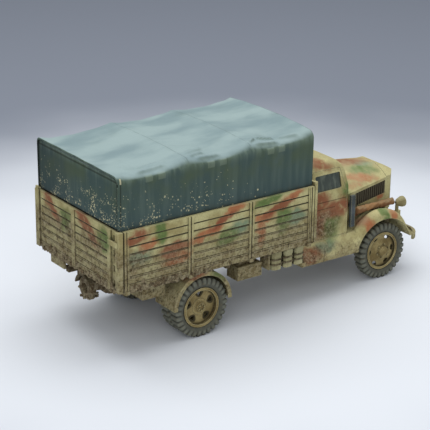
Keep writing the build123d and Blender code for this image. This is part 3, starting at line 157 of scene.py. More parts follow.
# Painted highlights on the tyres' edges and painted shade in their grooves
RUBBER_HIGHLIGHT = paint(146, 146, 128)
RUBBER_GROOVE_SHADE = paint(32, 30, 24)
RUBBER_MUD = paint(104, 94, 70)
PANE = paint(66, 74, 66)
# The panes' painted reflection streaks and the painted shade round them
PANE_REFLECTION = paint(104, 112, 98)
PANE_RIM_SHADE = paint(24, 24, 20)
FLOOR_PALE = paint(226, 230, 236)
FLOOR_GREY = paint(131, 137, 149)
BACKDROP = paint(108, 114, 125)


# Meshes from grids of points
def mesh_piece(name, points, faces, material, body, smooth=True):
    """A piece from points in millimetres and faces as rows of point numbers, riding on a body."""
    mesh = bpy.data.meshes.new(name)
    mesh.from_pydata((np.asarray(points, float) * MM).tolist(), [], [list(map(int, f)) for f in faces])
    mesh.update()
    piece = bpy.data.objects.new(name, mesh)
    bpy.context.scene.collection.objects.link(piece)
    mesh.materials.append(material)
    mesh.polygons.foreach_set("use_smooth", np.full(len(mesh.polygons), smooth))
    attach(piece, body)
    return piece


def grid_faces(rows, columns, close_rows=False, close_columns=False):
    """Four-sided faces of a grid of rows by columns points, wrapped round where it closes."""
    row_count = rows if close_rows else rows - 1
    column_count = columns if close_columns else columns - 1
    i, j = np.meshgrid(np.arange(row_count), np.arange(column_count), indexing="ij")
    i, j = i.ravel(), j.ravel()
    next_i, next_j = (i + 1) % rows, (j + 1) % columns
    return np.stack([i * columns + j, next_i * columns + j,
                     next_i * columns + next_j, i * columns + next_j], axis=1)


# Shader groups that several finishes share
def new_group(name, inputs, outputs):
    """An empty shader group with named sockets, and its input and output nodes."""
    tree = bpy.data.node_groups.new(name, "ShaderNodeTree")
    for socket, kind, default in inputs:
        made = tree.interface.new_socket(socket, in_out="INPUT", socket_type=kind)
        if default is not None:
            made.default_value = default
    for socket, kind in outputs:
        tree.interface.new_socket(socket, in_out="OUTPUT", socket_type=kind)
    return tree, tree.nodes.new("NodeGroupInput"), tree.nodes.new("NodeGroupOutput")


class Nodes:
    """Short ways to add and join shader nodes in one tree."""

    def __init__(self, tree):
        self.tree = tree

    def put(self, socket, value):
        """Link a node's output to a socket, or set the socket to a plain value."""
        if isinstance(value, bpy.types.NodeSocket):
            self.tree.links.new(value, socket)
        else:
            socket.default_value = value

    def add(self, kind, inputs=None, **settings):
        """A new node with its settings and its inputs."""
        node = self.tree.nodes.new(kind)
        for key, value in settings.items():
            setattr(node, key, value)
        for key, value in (inputs or {}).items():
            self.put(node.inputs[key], value)
        return node

    def math(self, operation, first, second=0.0):
        """One step of arithmetic."""
        return self.add("ShaderNodeMath", {0: first, 1: second}, operation=operation).outputs[0]

    def times(self, first, second):
        """The product of two values."""
        return self.math("MULTIPLY", first, second)

    def vector(self, operation, inputs, output=0):
        """One step of arithmetic on vectors."""
        return self.add("ShaderNodeVectorMath", inputs, operation=operation).outputs[output]

    def split(self, vector):
        """The X, Y and Z of a vector."""
        return self.add("ShaderNodeSeparateXYZ", {0: vector}).outputs

    def ramp(self, value, low, high):
        """0 at low, 1 at high, eased between them."""
        return self.add("ShaderNodeMapRange", {"Value": value, "From Min": low, "From Max": high},
                        interpolation_type="SMOOTHSTEP").outputs["Result"]

    def mix(self, factor, first, second):
        """The first colour at factor 0, the second at 1."""
        node = self.add("ShaderNodeMix", data_type="RGBA", blend_type="MIX")
        for socket, value in ((0, factor), (6, first), (7, second)):
            self.put(node.inputs[socket], value)
        return node.outputs[2]

    def coat(self, under, over, mask, most):
        """A colour laid over another where a mask is high, at most this strongly."""
        return self.mix(self.times(mask, most), under, over)

    def noise(self, vector, scale, detail=3.0, rough=0.55):
        """Cloudy values about 0.5."""
        return self.add("ShaderNodeTexNoise", {"Vector": vector, "Scale": scale, "Detail": detail,
                                               "Roughness": rough}).outputs["Fac"]

    def group(self, tree, inputs=None):
        """The outputs of a shared group."""
        return self.add("ShaderNodeGroup", inputs, node_tree=tree).outputs


def make_place_group():
    """Place: object coordinates in millimetres. Up: how far a surface faces up. Height: Z of Place."""
    tree, _, out = new_group("place_in_mm", [], [("Place", "NodeSocketVector"), ("Up", "NodeSocketFloat"),
                                                 ("Height", "NodeSocketFloat")])
    n = Nodes(tree)
    coords = n.add("ShaderNodeTexCoord").outputs["Object"]
    place = n.vector("SCALE", {0: coords, "Scale": 1 / MM})
    normal = n.add("ShaderNodeNewGeometry").outputs["Normal"]
    n.put(out.inputs["Place"], place)
    n.put(out.inputs["Up"], n.split(normal)["Z"])
    n.put(out.inputs["Height"], n.split(place)["Z"])
    return tree


def make_shade_and_highlight_group():
    """Edge: 1 on convex edges, where painted highlights go. Recess: 1 in grooves and corners, from occlusion,
    where painted shade goes. Both reaches are in metres.
    """
    tree, inp, out = new_group(
        "edge_and_recess",
        [("Edge Radius", "NodeSocketFloat", 0.00016), ("Reach", "NodeSocketFloat", 0.0011)],
        [("Edge", "NodeSocketFloat"), ("Recess", "NodeSocketFloat")])
    n = Nodes(tree)
    true_normal = n.add("ShaderNodeNewGeometry").outputs["Normal"]
    round_normal = n.add("ShaderNodeBevel", {"Radius": inp.outputs["Edge Radius"]}, samples=6).outputs[0]
    same = n.vector("DOT_PRODUCT", {0: true_normal, 1: round_normal}, "Value")
    bend = n.ramp(same, 0.995, 0.86)
    occlusion = n.add("ShaderNodeAmbientOcclusion", {"Distance": inp.outputs["Reach"]},
                      samples=6, only_local=False).outputs["AO"]
    recess = n.ramp(occlusion, 0.86, 0.40)
    n.put(out.inputs["Edge"], n.times(bend, n.math("SUBTRACT", 1.0, recess)))
    n.put(out.inputs["Recess"], recess)
    return tree


def make_speckle_group():
    """Speckle: small splashed dots of uneven size, more of them where Amount is high."""
    tree, inp, out = new_group(
        "speckle",
        [("Place", "NodeSocketVector", None), ("Amount", "NodeSocketFloat", 0.5),
         ("Size", "NodeSocketFloat", 0.35)],
        [("Speckle", "NodeSocketFloat")])
    n = Nodes(tree)
    scale = n.math("DIVIDE", 1.0, inp.outputs["Size"])
    cells = n.add("ShaderNodeTexVoronoi", {"Vector": inp.outputs["Place"], "Scale": scale, "Randomness": 1.0})
    chance = n.add("ShaderNodeSeparateColor", {0: cells.outputs["Color"]}).outputs[0]
    chosen = n.math("LESS_THAN", chance, inp.outputs["Amount"])
    dot = n.ramp(cells.outputs["Distance"], 0.42, 0.22)
    n.put(out.inputs["Speckle"], n.times(chosen, dot))
    return tree


PLACE = make_place_group()
SHADE_AND_HIGHLIGHT = make_shade_and_highlight_group()
SPECKLE = make_speckle_group()


# Materials
def new_material(name):
    """A material with an empty tree, the helper on its nodes and its principled shader."""
    material = bpy.data.materials.new(name)
    material.use_nodes = True
    material.node_tree.nodes.clear()
    n = Nodes(material.node_tree)
    shader = n.add("ShaderNodeBsdfPrincipled")
    n.put(n.add("ShaderNodeOutputMaterial").inputs["Surface"], shader.outputs[0])
    return material, n, shader


def join_surface(n, shader, colour, height, strength, distance):
    """Join a colour and the height of a bump to a shader."""
    n.put(shader.inputs["Base Color"], colour)
    bump = n.add("ShaderNodeBump", {"Height": height, "Strength": strength, "Distance": distance})
    n.put(shader.inputs["Normal"], bump.outputs[0])


def patch_mask(n, place, patches):
    """Soft-edged blots, each an ellipsoid: centre, half sizes and turns about X and Y in degrees."""
    total = None
    for centre, size, about_x, about_y in patches:
        turn = (math.radians(about_x), math.radians(about_y), 0)
        local = n.add("ShaderNodeMapping", {"Vector": place, "Location": centre, "Scale": size,
                                            "Rotation": turn}, vector_type="TEXTURE")
        away = n.vector("LENGTH", {0: local.outputs[0]}, "Value")
        blot = n.ramp(away, BLOT_GONE, BLOT_FULL)
        total = blot if total is None else n.math("MAXIMUM", total, blot)
    return total


def box_mask(n, place, low, high, soft=0.05):
    """1 inside a box between two corners in millimetres."""
    total = None
    parts = n.split(place)
    for axis, start, end in zip("XYZ", low, high):
        value = parts[axis]
        inside = n.times(n.ramp(value, start - soft, start), n.ramp(value, end + soft, end))
        total = inside if total is None else n.times(total, inside)
    return total


def plank_line_mask(n, place):
    """Dark lines of wash and painted shade in the gaps between the boards of the bed, at even heights on its
    sides and tail.
    """
    side_low, side_high = node_box("bed_side_right")
    tail_low, tail_high = node_box("tailgate")
    foot, top = side_low[2], side_high[2]
    pitch = (top - foot) / PLANKS
    level = n.math("DIVIDE", n.math("SUBTRACT", n.split(place)["Z"], foot), pitch)
    off = n.math("ABSOLUTE", n.math("SUBTRACT", n.math("FRACT", n.math("ADD", level, 0.5)), 0.5))
    half = -side_low[1] - 0.35
    on_side = box_mask(n, place, (side_low[0] + 0.5, -half, foot + 1), (side_high[0] - 0.5, half, top - 1))
    on_tail = box_mask(n, place, (tail_low[0] + 0.2, tail_low[1] + 0.5, foot + 1),
                       (RX - 24, tail_high[1] - 0.5, top - 1))
    return n.times(n.ramp(off, *PLANK_LINE), n.math("MAXIMUM", on_side, on_tail))


def wheel_hole_shade_mask(n, place, holes):
    """Painted shade about the openings of a wheel disc, which repeat by angle about the axle; it widens the
    dark of each opening.
    """
    axle_x, count, first, radius, reach_out, reach_round = holes
    parts = n.split(place)
    across_x = n.math("SUBTRACT", parts["X"], axle_x)
    above = n.math("SUBTRACT", parts["Z"], AXLE_Z)
    sector = 2 * math.pi / count
    angle = n.math("SUBTRACT", n.math("ARCTAN2", above, across_x), math.radians(first) - sector / 2)
    folded = n.math("SUBTRACT", n.math("FLOORED_MODULO", angle, sector), sector / 2)
    away = n.math("SQRT", n.math("ADD", n.times(across_x, across_x), n.times(above, above)))
    out = n.math("DIVIDE", n.math("SUBTRACT", n.times(away, n.math("COSINE", folded)), radius), reach_out)
    widening = n.math("ADD", 1.0, n.times(out, 0.35))
    round_it = n.math("DIVIDE", n.times(away, n.math("SINE", folded)), n.times(widening, reach_round))
    spread = n.math("SQRT", n.math("ADD", n.times(out, out), n.times(round_it, round_it)))
    return n.ramp(spread, 1.25, 0.85)


def painted(name, base=SAND, deep=SAND_DEEP, green=(), sea=(), brown=(), rust=(), mud_low=14.0,
            mud_high=22.0, mud_most=0.85, dust=0.3, wash_and_shade=0.85, edge=0.45, grime=0.3, louvre_shade_box=None,
            holes=None, splash=None, planks=False, creases=()):
    """Matt model paint: blots, grime, dust from above, mud from below, dark wash with painted shade in
    recesses and pale edges with painted highlights.
    """
    material, n, shader = new_material(name)
    held = n.group(PLACE)
    place, up, height = held["Place"], held["Up"], held["Height"]
    wander = n.add("ShaderNodeTexNoise", {"Vector": place, "Scale": 0.3, "Detail": 4.0}).outputs["Color"]
    shift = n.vector("SUBTRACT", {0: wander, 1: (0.5, 0.5, 0.5)})
    blown = n.vector("MULTIPLY_ADD", {0: shift, 1: (BLOT_WANDER, BLOT_WANDER, BLOT_WANDER), 2: place})
    fine = n.noise(place, 2.2, 4.0)
    broad = n.noise(place, 0.22)
    colour = n.mix(n.ramp(broad, 0.35, 0.65), base, deep)
    patchy = n.ramp(n.noise(place, 0.6), 0.05, 0.5)
    for blots, hue, most in ((sea, SEA_GREEN, 0.85), (green, LEAF_GREEN, 0.9), (rust, RUST_RED, 0.85),
                             (brown, RED_BROWN, 0.9)):
        if blots:
            colour = n.coat(colour, hue, n.times(patch_mask(n, blown, blots), patchy), most)
    colour = n.coat(colour, MUD, n.ramp(fine, 0.45, 0.75), grime)
    # Pale dry-brushed edges with painted highlights, and dark wash with painted shade in grooves and corners
    relief = n.group(SHADE_AND_HIGHLIGHT)
    colour = n.coat(colour, SAND_PALE, relief["Edge"], edge)
    colour = n.coat(colour, WASH_AND_SHADE, relief["Recess"], wash_and_shade)
    # Dark lines of wash and painted shade in the gaps between the boards
    if planks:
        colour = n.coat(colour, WASH_AND_SHADE, plank_line_mask(n, place), 0.8)
    # Dark creases of wash and painted shade along the panels
    for low, high in creases:
        colour = n.coat(colour, WASH_AND_SHADE, box_mask(n, place, low, high, 0.12), 0.6)
    # Painted shade on the louvred side panels of the hood
    if louvre_shade_box:
        colour = n.coat(colour, LOUVRE_SHADE, box_mask(n, place, *louvre_shade_box), 0.92)
    # Painted shade round the openings of the wheel discs, widening the dark of each
    if holes:
        colour = n.coat(colour, HOLE_SHADE, wheel_hole_shade_mask(n, place, holes), 0.85)
    colour = n.coat(colour, SAND_PALE, n.times(n.ramp(up, 0.3, 0.95), n.ramp(broad, 0.3, 0.7)), dust)

    # Mud: full below mud_low, none above mud_high, its edge broken by coarse noise
    coarse = n.noise(place, 1.1, 5.0, 0.65)
    level = n.ramp(n.math("ADD", height, n.times(coarse, -MUD_WANDER)), mud_high - MUD_WANDER / 2,
                   mud_low - MUD_WANDER / 2)
    if splash:
        level = n.math("MAXIMUM", level, n.times(n.ramp(broad, 0.3, 0.6), patch_mask(n, place, splash)))
    muddy = n.times(level, mud_most)
    grain = n.noise(place, 1.5, 5.0, 0.75)
    dots = n.times(level, n.ramp(grain, 0.53, 0.60))
    pits = n.times(level, n.ramp(grain, 0.46, 0.38))
    mud_tone = n.mix(n.ramp(n.noise(place, 0.7, 4.0), 0.4, 0.62), MUD, MUD_PALE)
    colour = n.coat(colour, mud_tone, muddy, 0.7)
    colour = n.coat(colour, MUD_DOT, dots, 0.65)
    colour = n.coat(colour, MUD_PIT, pits, 0.85)
    lumps = n.times(n.math("ADD", coarse, n.math("SUBTRACT", dots, pits)), muddy)
    relief_height = n.math("ADD", n.times(n.noise(place, 3.0, 4.0), 0.25), lumps)
    join_surface(n, shader, colour, relief_height, 0.7, 0.0004)
    n.put(shader.inputs["Roughness"], n.math("ADD", 0.80, n.times(fine, 0.14)))
    shader.inputs["Specular IOR Level"].default_value = 0.25
    return material


def tilt_canvas():
    """Tilt: dark blue-green sides with upright streaks, a pale top that is partly dust and partly painted
    light from above, cream splashes low at the rear.
    """
    material, n, shader = new_material("tilt_canvas")
    held = n.group(PLACE)
    place, up, height = held["Place"], held["Up"], held["Height"]
    x = n.split(place)["X"]

    # Sides: streaks, olive near the eaves, bluer near the foot, a pale rim under the shoulder
    streak = n.noise(n.vector("MULTIPLY", {0: place, 1: (0.75, 0.75, 0.06)}), 1.0, 3.0, 0.5)
    colour = n.coat(TILT_SIDE, TILT_STREAK, n.ramp(streak, 0.40, 0.72), 0.60)
    broad = n.noise(place, 0.14)
    colour = n.coat(colour, TILT_OLIVE, n.times(n.ramp(height, 38.0, 45.0), n.ramp(broad, 0.35, 0.65)), 0.8)
    colour = n.coat(colour, TILT_RIM, n.times(n.ramp(height, 45.6, 48.4), n.ramp(streak, 0.25, 0.62)), 0.5)
    colour = n.coat(colour, TILT_LOW, n.ramp(height, 40.0, 34.5), 0.35)

    # Top: paler where the canvas faces up, partly dust and partly painted light from above; drawn out along
    # the truck, with a seam beside each middle bow
    top = n.ramp(n.math("ADD", up, n.times(n.math("SUBTRACT", broad, 0.5), 0.5)), 0.45, 1.0)
    drawn = n.noise(n.vector("MULTIPLY", {0: place, 1: (0.05, 0.12, 0.1)}), 1.0, 4.0, 0.5)
    colour = n.mix(top, colour, n.coat(TILT_TOP, TILT_TOP_DEEP, n.ramp(drawn, 0.36, 0.68), 0.6))
    for bow in TILT_BOWS[1:3]:
        near = n.math("ABSOLUTE", n.math("SUBTRACT", x, bow + 0.25))
        line = n.times(n.ramp(near, 0.32, 0.06), n.ramp(n.noise(place, 0.5, 2.0), 0.3, 0.5))
        colour = n.coat(colour, TILT_SEAM, n.times(line, top), 0.45)
    for centre in TILT_PATCHES:
        patch = box_mask(n, place, (RX + centre - PATCH_HALF, -25, PATCH_Z - PATCH_HALF_HEIGHT),
                         (RX + centre + PATCH_HALF, 0, PATCH_Z + PATCH_HALF_HEIGHT), 0.15)
        colour = n.coat(colour, TILT_PATCH, patch, 0.35)
    # The dark slit, the dab of cream, and the painted shadow under the rear hem
    for corners, hue, soft, most in ((TILT_SLIT, TILT_SLIT_DARK, 0.15, 0.7), (TILT_DAB, CREAM, 0.15, 0.8),
                                     (TILT_HEM, TILT_HEM_SHADOW, 0.2, 0.6)):
        colour = n.coat(colour, hue, box_mask(n, place, *corners, soft), most)

    # Splashes low down and towards the rear, and mud along the boards
    low = n.times(n.ramp(height, 46.0, 35.5), n.ramp(x, RX + 26.0, RX - 22.0))
    for size, most in ((0.8, 0.36), (0.42, 0.5)):
        dots = n.group(SPECKLE, {"Place": place, "Amount": n.times(low, most), "Size": size})["Speckle"]
        clumps = n.ramp(n.noise(place, 0.3, 2.0), 0.45, 0.6)
        colour = n.coat(colour, CREAM, n.times(dots, clumps), 0.85)
    foot = n.times(n.ramp(height, 37.0, 34.8), n.ramp(n.noise(place, 1.2, 4.0), 0.45, 0.75))
    colour = n.coat(colour, MUD, foot, 0.3)
    relief = n.group(SHADE_AND_HIGHLIGHT)
    # Painted shade in folds and corners, and painted highlights on ridges and edges
    colour = n.coat(colour, TILT_RECESS_SHADE, relief["Recess"], 0.75)
    colour = n.coat(colour, TILT_EDGE, relief["Edge"], 0.3)
    weave = n.noise(place, 3.5)
    join_surface(n, shader, colour, n.math("ADD", weave, n.times(streak, 2.0)), 0.3, 0.00016)
    shader.inputs["Roughness"].default_value = 0.85
    shader.inputs["Specular IOR Level"].default_value = 0.25
    return material


def tyre_rubber():
    """Tyres: dark grey rubber with dusty ribs, darker grooves between them with painted shade, painted
    highlights on edges and patches of dried mud.
    """
    material, n, shader = new_material("tyre_rubber")
    place = n.group(PLACE)["Place"]
    relief = n.group(SHADE_AND_HIGHLIGHT, {"Reach": 0.0007})
    rib = n.add("ShaderNodeAttribute", attribute_name="rib").outputs["Fac"]
    dusty = n.ramp(n.noise(place, 0.8, 4.0), 0.3, 0.7)
    colour = n.coat(RUBBER, RUBBER_DUST, rib, n.math("ADD", 0.45, n.times(dusty, 0.4)))
    # Painted highlights on the tread's edges and painted shade in its grooves
    colour = n.coat(colour, RUBBER_HIGHLIGHT, relief["Edge"], 0.4)
    colour = n.coat(colour, RUBBER_GROOVE_SHADE, relief["Recess"], 0.85)
    colour = n.coat(colour, RUBBER_MUD, n.ramp(n.noise(place, 1.6, 4.0), 0.5, 0.72), 0.5)
    join_surface(n, shader, colour, n.noise(place, 3.5, 4.0), 0.4, 0.00015)
    shader.inputs["Roughness"].default_value = 0.9
    shader.inputs["Specular IOR Level"].default_value = 0.2
    return material


def window_paint():
    """Painted panes: dark grey with paler slanting streaks that are the model's own painted reflection, and
    painted shade round each pane.
    """
    material, n, shader = new_material("window_paint")
    place = n.group(PLACE)["Place"]
    slanted = n.add("ShaderNodeMapping", {"Vector": place, "Rotation": (0, math.radians(28), 0),
                                          "Scale": (1.0, 1.0, 0.15)}).outputs[0]
    # Paler slanting streaks: the model's own painted reflection
    colour = n.mix(n.ramp(n.noise(slanted, 0.9), 0.42, 0.68), PANE, PANE_REFLECTION)
    # Painted shade in the recess round each pane
    relief = n.group(SHADE_AND_HIGHLIGHT, {"Reach": 0.0009})
    colour = n.coat(colour, PANE_RIM_SHADE, relief["Recess"], 0.8)
    join_surface(n, shader, colour, n.noise(place, 1.5, 2.0), 0.15, 0.0001)
    shader.inputs["Roughness"].default_value = 0.42
    shader.inputs["Coat Weight"].default_value = 0.2
    return material


CAMO = painted(
    "camouflage_paint",
    # centre, half sizes, turn about X, turn about Y
    green=[
        ((RX + 38.5, -10.5, 38.6), (2.4, 3.0, 1.8), 0, 0), ((RX + 45.0, -15.2, 20.0), (2.2, 3.0, 3.8), 0, 0),
        ((RX + 51.2, -14.6, 28.5), (2.0, 3.0, 3.2), 0, 0), ((RX + 64.0, -5.5, 29.6), (4.6, 1.8, 1.6), 0, 8),
        ((RX + 63.2, -15.8, 20.0), (1.2, 3.0, 2.4), 0, 0), ((RX + 56.5, 8.5, 29.8), (4.0, 3.0, 2.4), 0, 0),
        ((RX + 44.0, 15.2, 27.5), (3.0, 2.5, 3.4), 0, 20), ((RX + 60.0, 16.0, 19.5), (2.6, 3.0, 2.6), 0, 0)],
    sea=[((RX + 42.5, -15.9, 14.6), (3.2, 2.5, 1.3), 0, 0), ((RX + 66.0, -2.0, 29.6), (3.0, 2.0, 1.4), 0, 0)],
    brown=[
        ((RX + 42.0, -12.2, 37.2), (3.8, 3.0, 1.6), -30, 30),
        ((RX + 41.0, -15.2, 27.6), (3.2, 2.5, 2.0), 0, 0),
        ((RX + 46.8, -15.2, 24.8), (4.8, 2.5, 2.4), 0, -6), ((RX + 40.6, -15.2, 22.8), (2.0, 2.5, 4.6), 0, 0),
        ((RX + 58.5, 0.6, 31.0), (9.5, 3.0, 1.6), 0, 6), ((RX + 37.2, -16.6, 13.4), (3.6, 2.0, 1.8), 0, 0),
        ((RX + 56.5, -13.9, 19.0), (2.0, 2.8, 1.5), 0, 0), ((RX + 47.0, 15.2, 21.5), (3.6, 2.5, 4.0), 0, -25),
        ((RX + 42.0, 4.0, 38.8), (3.4, 4.0, 1.4), 0, 0), ((RX + 70.0, 12.5, 18.0), (2.2, 3.4, 2.4), 0, 0)],
    rust=[
        ((RX + 60.6, -8.2, 28.7), (5.8, 1.6, 1.2), 0, 16), ((RX + 56.6, -11.8, 28.6), (3.4, 1.8, 1.2), 0, 0),
        ((RX + 66.7, -15.5, 19.0), (1.5, 3.2, 1.9), 0, 0), ((RX + 57.8, -16.6, 17.2), (1.4, 1.6, 1.8), 0, 0),
        ((RX + 67.8, -8.9, 21.8), (1.8, 1.6, 0.9), 0, 0)],
    mud_low=9.0, mud_high=16.0, mud_most=0.7,
    # Dark creases of wash and painted shade along the cab's panels
    creases=[
        ((RX + 38.8, -17, 27.15), (RX + 50.0, -14.9, 27.3)),
        ((RX + 38.8, -17, 25.2), (RX + 46.0, -14.9, 25.35)),
        ((RX + 38.8, 14.9, 27.15), (RX + 50.0, 17, 27.3))],
    # Painted shade on the louvred side panels of the hood
    louvre_shade_box=((FX - 8.45, -20, 22.4), (FX + 5.6, 20, 26.05)),
    splash=[
        ((RX + 42.5, -15.2, 20.5), (4.5, 2.0, 3.4), 0, 0), ((RX + 41.0, -16.5, 13.4), (9.0, 3.0, 1.8), 0, 0),
        ((RX + 42.5, 15.2, 20.5), (4.5, 2.0, 3.4), 0, 0), ((RX + 41.0, 16.5, 13.4), (9.0, 3.0, 1.8), 0, 0)])
BED = painted(
    "bed_paint",
    # centre, half sizes, turn about X, turn about Y
    green=[
        ((RX - 13.8, -20, 32.3), (1.4, 3, 2.8), 0, 0), ((RX + 6.4, -20, 26.6), (3.0, 3, 1.8), 0, -20),
        ((RX + 19.6, -20, 34.0), (4.6, 3, 1.0), 0, -12), ((RX + 24.4, -20, 28.0), (1.9, 3, 3.6), 0, 10),
        ((RX - 26, 5.4, 30.6), (3, 2.2, 2.6), 30, 0), ((RX - 26, -13.5, 31.0), (3, 2.4, 3.0), 30, 0),
        ((RX - 8, 20, 30.5), (4.5, 3, 2.0), 0, 20), ((RX + 14, 20, 28.0), (3.0, 3, 3.6), 0, 0),
        ((RX + 29, 20, 31.0), (3.0, 3, 3.0), 0, 0)],
    sea=[
        ((RX + 10.8, -20, 28.6), (2.6, 3, 2.0), 0, -15), ((RX + 28.6, -20, 27.6), (2.8, 3, 1.8), 0, -10),
        ((RX - 20, -20, 27.2), (2.6, 3, 1.6), 0, 0), ((RX - 3, 20, 26.5), (3.6, 3, 1.6), 0, 0)],
    brown=[
        ((RX + 5.4, -20, 31.6), (3.6, 3, 0.9), 0, -20), ((RX + 22.8, -20, 31.4), (4.4, 3, 1.0), 0, -20),
        ((RX - 20.8, -20, 32.6), (2.8, 3, 1.3), 0, -12), ((RX - 9.6, -20, 27.2), (3.8, 3, 1.5), 0, -12),
        ((RX - 26, 12.0, 32.2), (3, 4.6, 1.5), 42, 0), ((RX - 26, -5.2, 32.0), (3, 6.0, 1.6), 36, 0),
        ((RX - 16, 20, 31.0), (4.5, 3, 1.6), 0, 25), ((RX + 4, 20, 30.0), (5.0, 3, 1.6), 0, 20),
        ((RX + 22, 20, 29.5), (4.5, 3, 1.6), 0, 25), ((RX - 4.0, -16, 17.4), (4.0, 6, 1.2), 0, 20)],
    rust=[
        ((RX + 8.6, -20, 33.9), (2.8, 3, 0.9), 0, -18), ((RX + 0.2, -20, 29.2), (5.0, 3, 1.2), 0, -16),
        ((RX + 28.0, -20, 34.0), (2.6, 3, 1.0), 0, -14), ((RX + 18.4, -20, 29.6), (3.0, 3, 1.1), 0, -12),
        ((RX + 17.2, -20, 26.0), (1.3, 3, 3.4), 0, 0), ((RX - 17.4, -20, 30.2), (2.4, 3, 1.2), 0, -10),
        ((RX - 8.8, -20, 24.6), (3.6, 3, 1.4), 0, -10)],
    # Dark lines of wash and painted shade between the boards of the sides and tail
    mud_low=18.5, mud_high=32.0, mud_most=0.85, planks=True,
    splash=[
        ((RX - 26, 0, 24.0), (2.0, 26.0, 6.5), 0, 0), ((RX - 22, -20, 22.0), (9.0, 2.0, 6.0), 0, 0),
        ((RX - 22, 20, 22.0), (9.0, 2.0, 6.0), 0, 0)])
GUARD = painted(
    "mudguard_paint", green=[((RX + 5.0, -16, 17.0), (2.2, 8, 2.6), 0, 0)],
    brown=[((RX - 3.5, -16, 17.8), (4.0, 8, 1.2), 0, 0)],
    mud_low=12.5, mud_high=20.5, mud_most=0.7)
# Wheel discs: strong dark wash with painted shade in recesses, and pale edges with painted highlights
WHEEL_LOOK = {"base": paint(158, 143, 98), "deep": paint(122, 106, 66), "mud_low": -20, "mud_high": -10,
              "grime": 0.5, "wash_and_shade": 0.95, "dust": 0.0, "edge": 0.6}
# Painted shade round the openings of each wheel disc
REAR_WHEEL = painted("rear_wheel_paint", holes=(RX, 5, 18.0, 3.5, 0.95, 1.15), **WHEEL_LOOK)
FRONT_WHEEL = painted("front_wheel_paint", holes=(FX, 6, 0.0, 4.0, 0.5, 0.85), **WHEEL_LOOK)
CHASSIS_PAINT = painted("chassis_paint", base=paint(84, 72, 52), deep=paint(64, 54, 38),
                        mud_low=12.0, mud_high=20.0, dust=0.1, edge=0.3)
CANISTER = painted("canister_paint", base=paint(176, 171, 132), deep=paint(150, 144, 106),
                   mud_low=8, mud_high=13, wash_and_shade=0.95, edge=0.7)
ROLL = painted("rolled_canvas", base=paint(164, 122, 80), deep=paint(128, 92, 60),
               mud_low=8, mud_high=12, dust=0.2, edge=0.4)
TOOL = painted("tool_metal", base=paint(84, 92, 96), deep=paint(66, 72, 72),
               mud_low=8, mud_high=12, dust=0.1, edge=0.6)
LAMP = painted("lamp_paint", base=paint(160, 152, 112), deep=paint(126, 116, 80), mud_low=4, mud_high=8)
LUMP = painted("mud_lumps", base=paint(136, 120, 92), deep=paint(88, 74, 54),
               mud_low=60, mud_high=70, dust=0.0)
CANVAS = tilt_canvas()
RUBBER_SKIN = tyre_rubber()
PANES = window_paint()

FINISH = {
    "camouflage_paint": CAMO, "bed_paint": BED, "wheel_paint": REAR_WHEEL, "chassis_paint": CHASSIS_PAINT,
    "canister_paint": CANISTER, "rolled_canvas": ROLL, "tool_metal": TOOL, "lamp_paint": LAMP,
    "tilt_canvas": CANVAS, "tyre_rubber": RUBBER_SKIN, "window_paint": PANES,
}
OWN_FINISH = {"front_wheel_left": FRONT_WHEEL, "front_wheel_right": FRONT_WHEEL,
              "rear_mudguard_left": GUARD, "rear_mudguard_right": GUARD}


def dress_nodes():
    """Give every node of the frame the finish that its record names."""
    for part in RECORD["subparts"]:
        node = frame["nodes"][part["node"]]
        finish = OWN_FINISH.get(part["node"], FINISH[part["material_slot"]])
        if not node.material_slots:
            node.data.materials.append(finish)
        for held in node.material_slots:
            held.material = finish


dress_nodes()


# The tilt: one continuous canvas over four bows. Points along it, up a wall, round a shoulder and over
# the top; where its even part starts at the rear; radii of the shoulders near both ends
TILT_LENGTHS, TILT_WALLS, TILT_TURNS, TILT_TOPS = 281, 34, 12, 84
TILT_REAR_ROUND = 0.35
TILT_RADII = (1.1, 2.4, 2.6, 1.8)
PATCH_THICKNESS = 0.16

# Below the top of the boards the rear stays this far inside the tailgate
BOARD_TOP_Z = 35.0
TAILGATE_CLEARANCE = 0.35
HEM_ROWS = (
    # forward of the tilt's rear end, rise at the top
    (0.16, -0.50), (-0.12, -0.45), (-0.12, 0.04), (0.0, 0.06),
)
TILT_FOLDS = (
    # from x and y, to x and y about the rear axle, half width, height
    (15.4, -16.8, 18.6, -14.2, 0.42, 0.798), (18.6, -14.2, 23.5, -16.4, 0.54, 0.76),
    (16.0, -17.4, 24.0, -17.8, 0.6, 0.57), (-3.6, -16.4, 2.2, -15.0, 0.6, 0.608),
    (-3.0, -14.2, 3.4, -12.6, 0.72, 0.494), (-2.0, -17.6, 6.0, -17.4, 0.6, 0.532),
    (-20.0, -17.2, -10.0, -16.6, 0.72, 0.57), (-18.0, -15.4, -8.0, -14.8, 0.84, 0.418),
    (-22.0, -13.0, -14.0, -16.2, 0.96, 0.456), (24.0, -15.8, 31.0, -17.2, 0.6, 0.494),
    (-4.0, -8.0, 4.0, -12.5, 1.08, 0.38), (15.0, -8.0, 22.0, -13.5, 1.08, 0.38),
    (-4.2, 12.0, 3.0, 15.0, 1.32, 0.228), (15.2, 12.0, 22.0, 15.2, 1.32, 0.228),
    (-18.0, 14.2, -9.0, 15.2, 1.32, 0.228),
)


def bump_along(x, y, start_x, start_y, end_x, end_y, half_width, height):
    """Soft ridge along a line: height exp(-(d / half_width)^2), fading over a fifth at either end."""
    run = np.array((end_x - start_x, end_y - start_y))
    length = np.hypot(*run)
    along = ((x - start_x) * run[0] + (y - start_y) * run[1]) / length ** 2
    off = ((x - start_x) * run[1] - (y - start_y) * run[0]) / length
    fade = np.clip(5 * along, 0, 1) * np.clip(5 * (1 - along), 0, 1)
    return height * np.exp(-(off / half_width) ** 2) * fade


